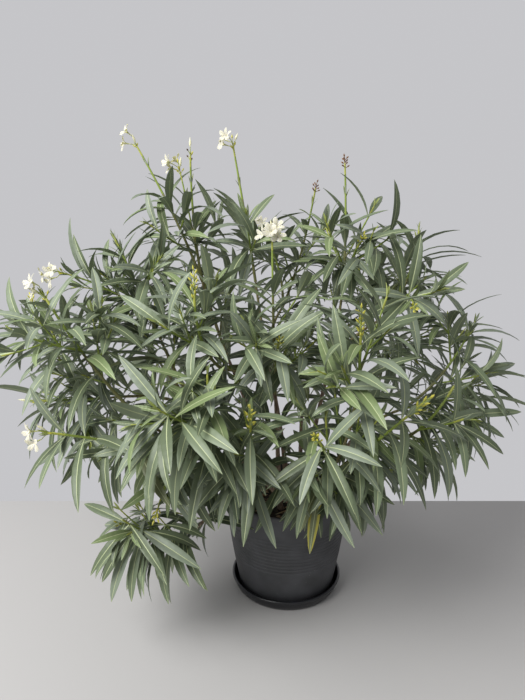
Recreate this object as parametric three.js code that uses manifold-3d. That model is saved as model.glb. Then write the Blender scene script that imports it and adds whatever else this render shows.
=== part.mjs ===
// Potted oleander: a clump of stems that rises from one pot, forks into boughs and ends in leafy shoots
// Millimetres, +Z up. The origin is the centre of the saucer's flat underside, and -Y is the front.
import * as THREE from "three";
import Module from "manifold-3d";

const wasm = await Module();
wasm.setup();

// Fits
const GAP = 0.3;
const SMOOTHING = 0.1;

// Saucer
const SAUCER_RIM_RADIUS = 174;
const SAUCER_TURN_RADIUS = 165;
const SAUCER_FOOT_RADIUS = 155;
const SAUCER_HEIGHT = 40;
const SAUCER_FLOOR = 3;
const SAUCER_WALL = 3;

// Pot
const POT_HEIGHT = 320;
const POT_FOOT_RADIUS = 139;
const POT_LOW_RADIUS = 150;
const POT_LOW_HEIGHT = 16;
const POT_TOP_RADIUS = 188;
const POT_RIM_RADIUS = 191;
const POT_RIM_HEIGHT = 14;
const POT_CORNER = 4;
const POT_WALL = 4;
const POT_FLOOR = 5;
const WALL_STEPS = 3;
const ROUND_SIDES = 32;

// Soil
const SOIL_TOP = 298;
const SOIL_EDGE_DROP = 5;
const SOIL_CROWN_RADIUS = 140;

// Limbs
const LIMB_SIDES = 6;
const LIMB_STEPS = 5;
const LIMB_BEND = 0.45;
const FOOT_FLARE = 5;
const FLARE_POWER = 8;
const BOUGH_ROOT_SHARE = 0.92;
const ALONG_X = 0.9;
const STEM_STEEPNESS = 0.45;
const PARENT_PULL = 0.55;

// Shoots: twigs with three sides that carry the leaves
const TWIG_SIDES = 3;
const LEADER_STEPS = 3;
const SIDE_STEPS = 2;
const LEADER_RADIUS = 4.2;
const SIDE_RADIUS = 2.5;
const SHOOT_TIP_RADIUS = 2.2;
const BUD_LENGTH = 5;
const SIDE_SHOOTS = 2;
const SIDE_SHOOT_LENGTH = [120, 175];
const SIDE_SHOOT_SPREAD = 40;
const SIDE_SHOOT_PLACES = [0.34, 0.58];
const SIDE_SHOOT_LIFT = 0.12;
const SIDE_SHOOT_TRIES = 6;
const SPREAD_JITTER = 10;
const NAMED_SHOOT_PLACES = [0.15, 0.35];
const SHOOT_TEST_STEP = 20;
const SHOOT_TEST_SHARE = 0.7;

// Whorls: how far each lies below the tip of its shoot, how far its leaves open and how long they are
const WHORL_DEPTHS = [10, 22, 38, 58, 82, 110, 142, 178, 218, 262, 310];
const WHORL_ANGLES = [16, 38, 60, 68, 75, 82, 87, 92, 96, 98, 98];
const WHORL_SIZES = [0.2, 0.42, 0.86, 0.96, 1, 1, 1, 0.98, 0.94, 0.9, 0.88];
const WHORLS = [2, 5, 7, 9];
const LEAVES_IN_WHORL = 3;
const WHORL_TURN = 60;
const SHOOT_TURN = 37;
const TURN_JITTER = 16;
const ANGLE_JITTER = 9;
const BARE_SHARE = 0.85;

// Leaves
const LEAF_LENGTH = 185;
const LEAF_WIDTH = 33;
const LEAF_SIZE_SPREAD = 0.12;
const LEAF_THICKNESS = 2.4;
const LEAF_ROOT_HEIGHT = 0.7;
const LEAF_WIDEST = 0.44;
const LEAF_ARCH = 0.07;
const LEAF_SAG = 0.25;

// A leaf that does not fit is folded up, opened, shortened and turned: these scale its angle and its length
// and turn it about its shoot, in degrees
const LEAF_TRIES = [
  [1, 1, 0],
  [0.9, 0.95, 22],
  [0.9, 0.95, -22],
  [1.2, 0.9, 0],
  [0.65, 0.95, 0],
  [1, 0.72, 10],
];
const ROOT_SHARE = 0.12;

// Where a leaf is tested: shares of the way from its root to its keel or from its keel to its tip, with the
// share of its half width there
const LOW_TEST = [0.5, 0.5];
const HIGH_TESTS = [[0.35, 0.7], [0.7, 0.35]];

// Room that each mass of leaves keeps to, and what leaves and twigs stay clear of
const SPACE_SHARED = 60;
const SPACE_EXTENSION = 70;
const LIMB_CLEARANCE = 1.5;
const TWIG_CLEARANCE = 6;
const LEAF_CLEARANCE = 3;
const POT_CLEARANCE = 8;
const FLOOR_CLEARANCE = 8;

// Blossom
const FLOWER_RADIUS = 24;
const FLOWER_NOTCH = 0.5;
const FLOWER_DEPTH = 22;
const FLOWER_DIMPLE = 8;
const PETALS = 5;

// Seeded draws
const SEED = 7043;
const KEY_STEP = 0x9e3779b9;
const KEY_FACTOR = 0x85ebca6b;
const LAST_FACTOR = 0xc2b2ae35;
const WORD = 2 ** 32;

const COLOURS = {
  saucer: 0x2f3032,
  pot: 0x3a3b3d,
  soil: 0x3b2d22,
  stem: 0x7a6a58,
  bough: 0x7d7a5e,
  leaf: 0x7c9468,
};
const PLASTIC_ROUGHNESS = 0.62;
const SOIL_ROUGHNESS = 0.95;
const BARK_ROUGHNESS = 0.85;
const LEAF_ROUGHNESS = 0.55;

// Stems: foot on the soil, tip where the stem forks, and thickness at both ends
const STEMS = {
  "stem-left-front": { foot: [-80, -60], tip: [-215, -165, 480], thick: [19, 12] },
  "stem-foot-left": { foot: [-108, -28], tip: [-262, -205, 300], thick: [14, 9], steep: 0.52 },
  "stem-left": { foot: [-100, 18], tip: [-265, -30, 590], thick: [21, 13] },
  "stem-left-back": { foot: [-55, 62], tip: [-185, 85, 720], thick: [21, 12] },
  "stem-middle-back": { foot: [4, 62], tip: [-60, 85, 720], thick: [19, 12] },
  "stem-middle": { foot: [-25, 2], tip: [-40, -95, 660], thick: [19, 11] },
  "stem-front": { foot: [-22, -88], tip: [-75, -235, 455], thick: [17, 10] },
  "stem-right-front": { foot: [50, -78], tip: [95, -235, 470], thick: [18, 11] },
  "stem-right": { foot: [98, -22], tip: [215, -50, 530], thick: [20, 12] },
  "stem-right-back": { foot: [58, 22], tip: [130, 40, 710], thick: [21, 12] },
  "stem-back": { foot: [48, 98], tip: [60, 210, 560], thick: [19, 12] },
};

// Boughs: the stem that each springs from, its tip and its thickness there
const BOUGHS = {
  "bough-left-front": { from: "stem-left-front", tip: [-395, -285, 665], thick: 8.5 },
  "bough-left-high": { from: "stem-left", tip: [-375, -15, 800], thick: 9 },
  "bough-far-left": { from: "stem-left", tip: [-520, -70, 640], thick: 8.5 },
  "bough-left-back": { from: "stem-left", tip: [-400, 165, 660], thick: 8.5 },
  "bough-top-left": { from: "stem-left-back", tip: [-262, 98, 960], thick: 9 },
  "bough-top-middle": { from: "stem-middle-back", tip: [-98, 92, 960], thick: 8.5 },
  "bough-back": { from: "stem-middle-back", tip: [-10, 240, 860], thick: 9 },
  "bough-front-high": { from: "stem-middle", tip: [-180, -210, 760], thick: 8 },
  "bough-front-left": { from: "stem-front", tip: [-175, -335, 570], thick: 8 },
  "bough-front-right": { from: "stem-right-front", tip: [140, -325, 650], thick: 8 },
  "bough-right": { from: "stem-right", tip: [345, -45, 600], thick: 9 },
  "bough-right-front": { from: "stem-right", tip: [290, -185, 560], thick: 8 },
  "bough-top-right": { from: "stem-right-back", tip: [168, 75, 940], thick: 9 },
  "bough-right-high": { from: "stem-right-back", tip: [275, 0, 860], thick: 8.5 },
  "bough-back-right": { from: "stem-back", tip: [215, 250, 760], thick: 9 },
};

// Foliage masses: the limb that each grows on from, the tips of its shoots that show, with the leading one
// first, the turn of its whorls, how far these shoots are bare, how much the leaves hang, and the blossom
const MASSES = {
  "foliage-left-front": { on: "bough-left-front", tips: [[-590, -300, 960]], turn: 20, bloom: 1 },
  "foliage-left-low": {
    on: "stem-left-front",
    tips: [[-573, -380, 651], [-340, -330, 430]],
    turn: 200,
    hang: 0.5,
    bloom: 1,
  },
  "foliage-foot-left": { on: "stem-foot-left", tips: [[-431, -300, 364]], turn: 30, hang: 0.8 },
  "foliage-left-high": {
    on: "bough-left-high",
    tips: [[-502, 0, 1102], [-624, -100, 1004], [-350, -85, 1045]],
    turn: 10,
    bare: 40,
    bloom: 1,
  },
  "foliage-far-left": { on: "bough-far-left", tips: [[-725, -50, 905]], turn: 40 },
  "foliage-far-left-low": {
    on: "bough-far-left",
    tips: [[-719, -100, 640], [-560, -150, 510]],
    turn: 0,
    hang: 0.5,
    bloom: 1,
  },
  "foliage-left-back": { on: "bough-left-back", tips: [[-550, 250, 870], [-450, 290, 640]], turn: 50 },
  "foliage-top-far-left": {
    on: "bough-top-left",
    tips: [[-450, 120, 1360]],
    turn: 15,
    bare: 150,
    bloom: 1,
  },
  "foliage-top-left": {
    on: "bough-top-left",
    tips: [[-286, 80, 1330], [-322, 104, 1290]],
    turn: 45,
    bare: 180,
    bloom: 1,
  },
  "foliage-back-left": { on: "stem-left-back", tips: [[-310, 290, 1090], [-170, 310, 930]], turn: 0 },
  "foliage-top-middle": {
    on: "bough-top-middle",
    tips: [[-164, 120, 1360]],
    turn: 30,
    bare: 265,
    bloom: 1,
  },
  "foliage-back-middle": { on: "bough-back", tips: [[-70, 320, 1120]], turn: 25, bare: 60, bloom: 1 },
  "foliage-back-top": { on: "bough-back", tips: [[96, 250, 1250]], turn: 5, bare: 120 },
  "foliage-middle": { on: "stem-middle", tips: [[-51, -100, 1095]], turn: 50, bare: 120, bloom: 1 },
  "foliage-front-top": { on: "bough-front-high", tips: [[-244, -250, 965]], turn: 0 },
  "foliage-front-middle": { on: "stem-middle", tips: [[-38, -300, 850]], turn: 15 },
  "foliage-front": { on: "stem-front", tips: [[-104, -425, 690], [-165, -335, 525]], turn: 30, hang: 0.4 },
  "foliage-front-left": { on: "bough-front-left", tips: [[-238, -425, 738]], turn: 10, hang: 0.3 },
  "foliage-front-right": {
    on: "stem-right-front",
    tips: [[46, -450, 661], [20, -370, 525]],
    turn: 0,
    hang: 0.4,
  },
  "foliage-right-front": {
    on: "stem-right-front",
    tips: [[262, -415, 715], [225, -330, 535]],
    turn: 0,
    hang: 0.4,
  },
  "foliage-front-right-high": { on: "bough-front-right", tips: [[142, -390, 895]], turn: 20 },
  "foliage-right": { on: "bough-right", tips: [[530, -50, 862]], turn: 0 },
  "foliage-far-right": { on: "bough-right", tips: [[615, 20, 610]], turn: 25, hang: 0.5 },
  "foliage-right-low": {
    on: "bough-right-front",
    tips: [[412, -250, 730], [400, -190, 520]],
    turn: 40,
    hang: 0.4,
  },
  "foliage-top-right": { on: "bough-top-right", tips: [[166, 100, 1310]], turn: 10, bare: 210, bloom: 1 },
  "foliage-middle-right": { on: "bough-top-right", tips: [[196, -50, 1085]], turn: 30, bare: 40 },
  "foliage-right-high": {
    on: "bough-right-high",
    tips: [[382, 50, 1125], [310, -200, 925]],
    turn: 0,
    bare: 50,
  },
  "foliage-back-right": { on: "bough-back-right", tips: [[320, 320, 985]], turn: 35 },
  "foliage-back-right-low": { on: "bough-back-right", tips: [[480, 260, 650]], turn: 0, hang: 0.3 },
  "foliage-back-low": { on: "stem-back", tips: [[10, 360, 780]], turn: 30, hang: 0.3 },
};

const UP = new THREE.Vector3(0, 0, 1);
const vector = (values) => new THREE.Vector3(...values);
const radians = THREE.MathUtils.degToRad;

// A number from 0 to 1 that depends only on the whole numbers given, so each leaf keeps its own draw
function draw(...keys) {
  let mix = SEED;
  for (const key of keys) {
    mix = Math.imul(mix ^ (key + KEY_STEP), KEY_FACTOR);
    mix ^= mix >>> 13;
  }
  mix = Math.imul(mix, LAST_FACTOR);
  mix ^= mix >>> 16;
  return (mix >>> 0) / WORD;
}

// The same draw, spread evenly from -reach to +reach
const drawAbout = (reach, ...keys) => (draw(...keys) * 2 - 1) * reach;

// Solids: from a list of points and faces, from rings of points, and from a turned profile

function solidFrom(points, faces) {
  const vertProperties = new Float32Array(points.flatMap((point) => point.toArray()));
  const triVerts = new Uint32Array(faces.flat());
  return new wasm.Manifold(new wasm.Mesh({ numProp: 3, vertProperties, triVerts }));
}

function solidFromRings(rings, end) {
  const sides = rings[0].length;
  const points = rings.flat();
  const faces = [];
  for (let side = 1; side < sides - 1; side++) faces.push([0, side + 1, side]);
  for (let ring = 0; ring < rings.length - 1; ring++) {
    for (let side = 0; side < sides; side++) {
      const next = (side + 1) % sides;
      const low = ring * sides;
      const high = low + sides;
      faces.push([low + side, low + next, high + next], [low + side, high + next, high + side]);
    }
  }
  const last = (rings.length - 1) * sides;
  if (end) {
    for (let side = 0; side < sides; side++) {
      faces.push([last + side, last + ((side + 1) % sides), points.length]);
    }
    points.push(end);
  } else {
    for (let side = 1; side < sides - 1; side++) faces.push([last, last + side, last + side + 1]);
  }
  return solidFrom(points, faces);
}

// A round piece turned about the vertical axis
function turned(profile) {
  const points = profile.map(([radius, height]) => new THREE.Vector2(radius, height));
  return new THREE.LatheGeometry(points, ROUND_SIDES).rotateX(Math.PI / 2);
}

// The geometry of a finished solid
function geometryOf(solid) {
  const { vertProperties, triVerts } = solid.getMesh();
  const geometry = new THREE.BufferGeometry();
  geometry.setAttribute("position", new THREE.BufferAttribute(vertProperties, 3));
  geometry.setIndex(new THREE.BufferAttribute(triVerts, 1));
  geometry.computeVertexNormals();
  return geometry;
}

// Two directions square to a limb, the first as near as it can be to +X, or to +Y on a limb along X
function squareTo(direction, reference) {
  const right = reference.clone().addScaledVector(direction, -reference.dot(direction)).normalize();
  return [right, direction.clone().cross(right)];
}

// A limb's path: it leaves its start along a heading and bends to its tip
function pathOf(start, heading, tip, steps) {
  const chord = tip.clone().sub(start);
  const bend = start.clone().addScaledVector(heading, LIMB_BEND * chord.length());
  const curve = new THREE.QuadraticBezierCurve3(start, bend, tip);
  const liesAlongX = Math.abs(chord.x) > ALONG_X * chord.length();
  const reference = liesAlongX ? new THREE.Vector3(0, 1, 0) : new THREE.Vector3(1, 0, 0);
  const points = curve.getSpacedPoints(steps);
  const headings = points.map((_, step) => curve.getTangentAt(step / steps));
  return { points, headings, reference, length: curve.getLength() };
}

// The point of a path at a distance below its tip, with the heading there
function placeBelowTip(path, depth) {
  const steps = path.points.length - 1;
  const along = THREE.MathUtils.clamp(1 - depth / path.length, 0, 1) * steps;
  const step = Math.min(Math.floor(along), steps - 1);
  const share = along - step;
  return {
    point: path.points[step].clone().lerp(path.points[step + 1], share),
    heading: path.headings[step].clone().lerp(path.headings[step + 1], share).normalize(),
  };
}

function ringAt(point, heading, reference, radius, sides) {
  const [right, back] = squareTo(heading, reference);
  return Array.from({ length: sides }, (_, side) => {
    const angle = (2 * Math.PI * side) / sides;
    return point
      .clone()
      .addScaledVector(right, radius * Math.cos(angle))
      .addScaledVector(back, radius * Math.sin(angle));
  });
}

// A limb's solid, or with some growth the room it needs: the same limb that much wider and longer
function limbSolid(limb, growth = 0) {
  const { path, rootRadius, tipRadius, sides, flare = 0, pointed } = limb;
  const steps = path.points.length - 1;
  const wider = growth / Math.cos(Math.PI / sides);
  const rings = path.points.map((point, step) => {
    const share = step / steps;
    const end = step === 0 ? -growth : step === steps ? growth : 0;
    const centre = point.clone().addScaledVector(path.headings[step], end);
    const taper = THREE.MathUtils.lerp(rootRadius, tipRadius, share);
    const radius = taper + flare * (1 - share) ** FLARE_POWER + wider;
    return ringAt(centre, path.headings[step], path.reference, radius, sides);
  });
  if (!pointed) return solidFromRings(rings);
  const bud = path.points[steps].clone().addScaledVector(path.headings[steps], BUD_LENGTH + growth);
  return solidFromRings(rings, bud);
}

// The largest body of a solid, without scraps and without sealed hollows
function largestBody(solid) {
  return solid.decompose().reduce((best, body) => (body.volume() > best.volume() ? body : best));
}

// A limb or a mass cut clear of its neighbours at the fork
const cutClear = (solid, rooms) =>
  largestBody(rooms.reduce((left, room) => left.subtract(room), solid).simplify(SMOOTHING));

// Distance from a point to a line of points
function distanceToLine(point, line) {
  let least = Infinity;
  const near = new THREE.Vector3();
  const piece = new THREE.Line3();
  for (let step = 0; step < line.length - 1; step++) {
    piece.set(line[step], line[step + 1]);
    piece.closestPointToPoint(point, true, near);
    least = Math.min(least, near.distanceTo(point));
  }
  return least;
}

// Stems and boughs

const limbs = new Map();

function growStem(row) {
  const foot = vector([...row.foot, SOIL_TOP + GAP]);
  const tip = vector(row.tip);
  const outward = tip.clone().sub(foot).normalize();
  const heading = outward.lerp(UP, row.steep ?? STEM_STEEPNESS).normalize();
  const path = pathOf(foot, heading, tip, LIMB_STEPS);
  path.headings[0].copy(UP);
  const [rootRadius, tipRadius] = row.thick.map((thick) => thick / 2);
  return { path, rootRadius, tipRadius, sides: LIMB_SIDES, flare: FOOT_FLARE };
}

// The heading of a limb that springs from the tip of another one
function headingFrom(parent, tip) {
  const steps = parent.path.points.length - 1;
  const start = parent.path.points[steps];
  const outward = tip.clone().sub(start).normalize();
  return outward.lerp(parent.path.headings[steps], PARENT_PULL).normalize();
}

const tipOf = (limb) => limb.path.points[limb.path.points.length - 1].clone();

function growBough(row) {
  const parent = limbs.get(row.from);
  const tip = vector(row.tip);
  const path = pathOf(tipOf(parent), headingFrom(parent, tip), tip, LIMB_STEPS);
  const rootRadius = parent.tipRadius * BOUGH_ROOT_SHARE;
  return { path, rootRadius, tipRadius: row.thick / 2, sides: LIMB_SIDES };
}

for (const [name, row] of Object.entries(STEMS)) limbs.set(name, growStem(row));
for (const [name, row] of Object.entries(BOUGHS)) limbs.set(name, growBough(row));

// Shoots

function growLeader(row) {
  const parent = limbs.get(row.on);
  const tip = vector(row.tips[0]);
  const path = pathOf(tipOf(parent), headingFrom(parent, tip), tip, LEADER_STEPS);
  return {
    path,
    rootRadius: Math.min(LEADER_RADIUS, parent.tipRadius),
    tipRadius: SHOOT_TIP_RADIUS,
    sides: TWIG_SIDES,
    pointed: true,
  };
}

const masses = Object.entries(MASSES).map(([name, row]) => ({ name, row, leader: growLeader(row) }));

// A mass keeps to the room round its own leading shoot: no point of it is nearer to another mass's leading
// shoot by more than the strip that neighbours share
for (const mass of masses) {
  const { points, headings } = mass.leader.path;
  const beyond = points[LEADER_STEPS].clone().addScaledVector(headings[LEADER_STEPS], SPACE_EXTENSION);
  mass.spine = [...points, beyond];
}

function keepsToSpace(point, mass) {
  const own = distanceToLine(point, mass.spine) - SPACE_SHARED;
  return masses.every((other) => other === mass || distanceToLine(point, other.spine) > own);
}

function clearOfPot(point) {
  if (point.z < FLOOR_CLEARANCE) return false;
  const beside = Math.hypot(point.x, point.y) > POT_RIM_RADIUS + POT_CLEARANCE;
  return beside || point.z > POT_HEIGHT + POT_CLEARANCE;
}

const clearOf = (point, width, pieces) =>
  pieces.every(({ path, rootRadius }) => distanceToLine(point, path.points) > rootRadius + width);

const fits = (point, width, mass) =>
  clearOfPot(point) &&
  clearOf(point, width + LIMB_CLEARANCE, [...limbs.values()]) &&
  keepsToSpace(point, mass);

// A side shoot that leaves the leading one at a share of its length, towards a tip
function sideShoot(leader, share, tip, heading) {
  const start = placeBelowTip(leader.path, leader.path.length * (1 - share)).point;
  const path = pathOf(start, heading, tip, SIDE_STEPS);
  return { path, rootRadius: SIDE_RADIUS, tipRadius: SHOOT_TIP_RADIUS, sides: TWIG_SIDES, pointed: true };
}

// The shoots of the other masses
const shootsBeside = (mass) => masses.filter((other) => other !== mass).flatMap((other) => other.shoots);

function shootFits(shoot, mass) {
  const others = shootsBeside(mass);
  for (let depth = -BUD_LENGTH; depth < shoot.path.length * SHOOT_TEST_SHARE; depth += SHOOT_TEST_STEP) {
    const { point } = placeBelowTip(shoot.path, depth);
    if (!fits(point, SIDE_RADIUS, mass) || !clearOf(point, TWIG_CLEARANCE, others)) return false;
  }
  return true;
}

// The shoots that show: the other tips named for the mass, reached from low on the leading shoot
function namedShoots(mass) {
  return mass.row.tips.slice(1).map((place, index) => {
    const share = NAMED_SHOOT_PLACES[index];
    const tip = vector(place);
    const { point, heading } = placeBelowTip(mass.leader.path, mass.leader.path.length * (1 - share));
    const towards = tip.clone().sub(point).normalize().lerp(heading, PARENT_PULL).normalize();
    return sideShoot(mass.leader, share, tip, towards);
  });
}

// The shoots that the rule adds: each tries a few turns about the leading shoot until one fits
function addSeededShoots(mass, number) {
  const count = mass.row.tips.length > 1 ? 1 : SIDE_SHOOTS;
  for (let index = 0; index < count; index++) {
    const leafy = 1 - (mass.row.bare ?? 0) / mass.leader.path.length;
    const share = SIDE_SHOOT_PLACES[index] * leafy;
    const { point, heading } = placeBelowTip(mass.leader.path, mass.leader.path.length * (1 - share));
    const [right, back] = squareTo(heading, mass.leader.path.reference);
    const length = THREE.MathUtils.lerp(...SIDE_SHOOT_LENGTH, draw(number, index, 1));
    for (let attempt = 0; attempt < SIDE_SHOOT_TRIES; attempt++) {
      const turn = radians(360 * (draw(number, 2) + index / SIDE_SHOOTS + attempt / SIDE_SHOOT_TRIES));
      const spread = radians(SIDE_SHOOT_SPREAD + drawAbout(SPREAD_JITTER, number, index, attempt, 3));
      const outward = heading
        .clone()
        .multiplyScalar(Math.cos(spread))
        .addScaledVector(right, Math.sin(spread) * Math.cos(turn))
        .addScaledVector(back, Math.sin(spread) * Math.sin(turn));
      const tip = point.clone().addScaledVector(outward, length);
      tip.addScaledVector(UP, SIDE_SHOOT_LIFT * length);
      const shoot = sideShoot(mass.leader, share, tip, outward);
      if (shootFits(shoot, mass)) {
        mass.shoots.push(shoot);
        break;
      }
    }
  }
}

for (const mass of masses) mass.shoots = [mass.leader, ...namedShoots(mass)];
masses.forEach(addSeededShoots);

// Leaves

// The corners of a leaf: two at its root, one above the other, its widest points, its tip and its keel
function leafCorners(root, direction, upper, length, width, arch) {
  const side = direction.clone().cross(upper);
  const middle = root
    .clone()
    .addScaledVector(direction, LEAF_WIDEST * length)
    .addScaledVector(upper, arch * length);
  return [
    root.clone().addScaledVector(upper, LEAF_ROOT_HEIGHT),
    root.clone().addScaledVector(upper, -LEAF_ROOT_HEIGHT),
    middle.clone().addScaledVector(side, width / 2),
    middle.clone().addScaledVector(side, -width / 2),
    middle.clone().addScaledVector(upper, -LEAF_THICKNESS),
    root.clone().addScaledVector(direction, length),
  ];
}

// Its eight faces: the upper side is folded across the widest points, and the lower one along the keel
const LEAF_FACES = [[0, 2, 3], [2, 5, 3], [0, 1, 2], [1, 0, 3], [1, 4, 2], [1, 3, 4], [4, 5, 2], [4, 3, 5]];

// Whether a line between two points passes through a triangle
function passesThrough(from, to, triangle) {
  const ray = new THREE.Ray(from, to.clone().sub(from).normalize());
  const hit = ray.intersectTriangle(...triangle, false, new THREE.Vector3());
  return hit !== null && hit.distanceTo(from) <= from.distanceTo(to);
}

// A leaf as the lines round it and the two triangles that it fills, without the part by its root that the
// other leaves of its whorl share
function bladeOf(corners) {
  const [root, , left, right, keel, tip] = corners;
  const neck = root.clone().lerp(keel, ROOT_SHARE);
  return {
    middle: keel,
    reach: Math.max(keel.distanceTo(tip), keel.distanceTo(root)) + LEAF_CLEARANCE,
    lines: [[neck, left], [left, tip], [tip, right], [right, neck], [neck, keel], [keel, tip]],
    triangles: [[neck, left, right], [left, tip, right]],
  };
}

const linesPass = (lines, triangles) =>
  lines.some(([from, to]) => triangles.some((triangle) => passesThrough(from, to, triangle)));

const bladesCross = (one, other) =>
  one.middle.distanceTo(other.middle) < one.reach + other.reach &&
  (linesPass(one.lines, other.triangles) || linesPass(other.lines, one.triangles));

const twigLines = ({ path }) => path.points.slice(1).map((point, step) => [path.points[step], point]);

// The leaves that have found their place
const blades = [];

function leafFits(corners, upper, mass, shoot) {
  const [root, , left, right, keel, tip] = corners;
  const halfWidth = left.distanceTo(right) / 2;
  const places = [
    [root.clone().lerp(keel, LOW_TEST[0]), halfWidth * LOW_TEST[1]],
    [keel, halfWidth],
    ...HIGH_TESTS.map(([along, share]) => [keel.clone().lerp(tip, along), halfWidth * share]),
    [tip, 0],
    [left, 0],
    [right, 0],
  ];
  const others = shootsBeside(mass);
  const clear = ([point, width]) => fits(point, width, mass) && clearOf(point, LEAF_CLEARANCE, others);
  if (!places.every(clear)) return false;
  const layers = [-LEAF_CLEARANCE, 0, LEAF_CLEARANCE].map((offset) =>
    bladeOf(corners.map((corner) => corner.clone().addScaledVector(upper, offset))),
  );
  const twigs = [...others, ...mass.shoots.filter((other) => other !== shoot)].flatMap(twigLines);
  const meets = (layer) =>
    linesPass(twigs, layer.triangles) || blades.some((other) => bladesCross(layer, other));
  if (layers.some(meets)) return false;
  blades.push(layers[1]);
  return true;
}

function growLeaf(mass, shoot, whorl, depth, turn, keys) {
  const { path } = shoot;
  const { point, heading } = placeBelowTip(path, depth);
  const [right, back] = squareTo(heading, path.reference);
  const angle = radians(WHORL_ANGLES[whorl] + drawAbout(ANGLE_JITTER, ...keys, 1));
  const size = WHORL_SIZES[whorl] * (1 + drawAbout(LEAF_SIZE_SPREAD, ...keys, 2));
  const sag = (LEAF_SAG + (mass.row.hang ?? 0)) * Math.sin(angle);
  for (const [angleScale, lengthScale, turnChange] of LEAF_TRIES) {
    const open = angle * angleScale;
    const around = turn + radians(turnChange);
    const direction = heading
      .clone()
      .multiplyScalar(Math.cos(open))
      .addScaledVector(right, Math.sin(open) * Math.cos(around))
      .addScaledVector(back, Math.sin(open) * Math.sin(around))
      .addScaledVector(UP, -sag)
      .normalize();
    const upper = heading.clone().addScaledVector(direction, -heading.dot(direction)).normalize();
    const length = LEAF_LENGTH * size * lengthScale;
    const width = LEAF_WIDTH * Math.sqrt(size);
    const corners = leafCorners(point, direction, upper, length, width, LEAF_ARCH * Math.sin(open) ** 2);
    if (leafFits(corners, upper, mass, shoot)) return [corners];
  }
  return [];
}

function growWhorl(mass, number, shoot, shootNumber, whorl) {
  const bare = shootNumber < mass.row.tips.length ? (mass.row.bare ?? 0) : 0;
  const depth = WHORL_DEPTHS[whorl] + bare;
  if (depth > shoot.path.length * BARE_SHARE) return [];
  return Array.from({ length: LEAVES_IN_WHORL }, (_, leaf) => {
    const keys = [number, shootNumber, whorl, leaf];
    const around = mass.row.turn + WHORL_TURN * whorl + (360 * leaf) / LEAVES_IN_WHORL;
    const turn = radians(around + drawAbout(TURN_JITTER, ...keys, 4) + SHOOT_TURN * shootNumber);
    return growLeaf(mass, shoot, whorl, depth, turn, keys);
  }).flat();
}

// The youngest whorls of all shoots find their places first, then the older ones
for (const mass of masses) mass.leaves = [];
for (const whorl of WHORLS) {
  masses.forEach((mass, number) =>
    mass.shoots.forEach((shoot, shootNumber) =>
      mass.leaves.push(...growWhorl(mass, number, shoot, shootNumber, whorl)),
    ),
  );
}

// A single flower: a funnel that opens into five petals, its point sunk in the tip of its shoot
function flowerSolid(shoot) {
  const steps = shoot.path.points.length - 1;
  const base = shoot.path.points[steps];
  const heading = shoot.path.headings[steps];
  const centre = base.clone().addScaledVector(heading, FLOWER_DEPTH);
  const [right, back] = squareTo(heading, shoot.path.reference);
  const rim = Array.from({ length: 2 * PETALS }, (_, index) => {
    const angle = (Math.PI * index) / PETALS;
    const radius = index % 2 ? FLOWER_RADIUS * FLOWER_NOTCH : FLOWER_RADIUS;
    return centre
      .clone()
      .addScaledVector(right, radius * Math.cos(angle))
      .addScaledVector(back, radius * Math.sin(angle));
  });
  const dimple = centre.clone().addScaledVector(heading, -FLOWER_DIMPLE);
  const foot = base.clone().addScaledVector(heading, -BUD_LENGTH);
  const faces = rim.flatMap((_, index) => {
    const next = (index + 1) % rim.length;
    return [[index, next, rim.length], [next, index, rim.length + 1]];
  });
  return solidFrom([...rim, dimple, foot], faces);
}

// A mass of leaves: its shoots with the leaves and the flower fused on
function massSolid(mass) {
  const solids = mass.shoots.map((shoot) => limbSolid(shoot));
  solids.push(...mass.leaves.map((corners) => solidFrom(corners, LEAF_FACES)));
  if (mass.row.bloom) solids.push(flowerSolid(mass.leader));
  return wasm.Manifold.union(solids);
}

// The assembly

const plant = new THREE.Group();

function place(name, geometry, colour, roughness) {
  const material = new THREE.MeshStandardMaterial({ color: colour, roughness, metalness: 0 });
  const mesh = new THREE.Mesh(geometry, material);
  mesh.name = name;
  plant.add(mesh);
}

// The saucer stands on its flat underside, and its wall leans out
place(
  "saucer",
  turned([
    [0, 0],
    [SAUCER_FOOT_RADIUS, 0],
    [SAUCER_TURN_RADIUS, SAUCER_HEIGHT / 3],
    [SAUCER_RIM_RADIUS, SAUCER_HEIGHT],
    [SAUCER_RIM_RADIUS - SAUCER_WALL, SAUCER_HEIGHT],
    [SAUCER_TURN_RADIUS - SAUCER_WALL, SAUCER_HEIGHT / 3],
    [SAUCER_FOOT_RADIUS - SAUCER_WALL, SAUCER_FLOOR],
    [0, SAUCER_FLOOR],
  ]),
  COLOURS.saucer,
  PLASTIC_ROUGHNESS,
);

// The pot stands in the saucer: a round foot, a wall that leans out less and less, and a plain rim
const potBase = SAUCER_FLOOR + GAP;
const rimBase = POT_HEIGHT - POT_RIM_HEIGHT;
const soilEdge = SOIL_TOP - SOIL_EDGE_DROP;

function potRadius(height) {
  const quarterTurn = THREE.MathUtils.mapLinear(height, POT_LOW_HEIGHT, POT_HEIGHT, 0, Math.PI / 2);
  return POT_LOW_RADIUS + (POT_TOP_RADIUS - POT_LOW_RADIUS) * Math.sin(quarterTurn);
}

// The rings of the wall up to the soil's edge, moved in by the inset
function wallRings(inset) {
  return Array.from({ length: WALL_STEPS + 1 }, (_, step) => {
    const height = THREE.MathUtils.mapLinear(step, 0, WALL_STEPS, POT_LOW_HEIGHT, soilEdge);
    return [potRadius(height) - inset, height];
  });
}

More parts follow.
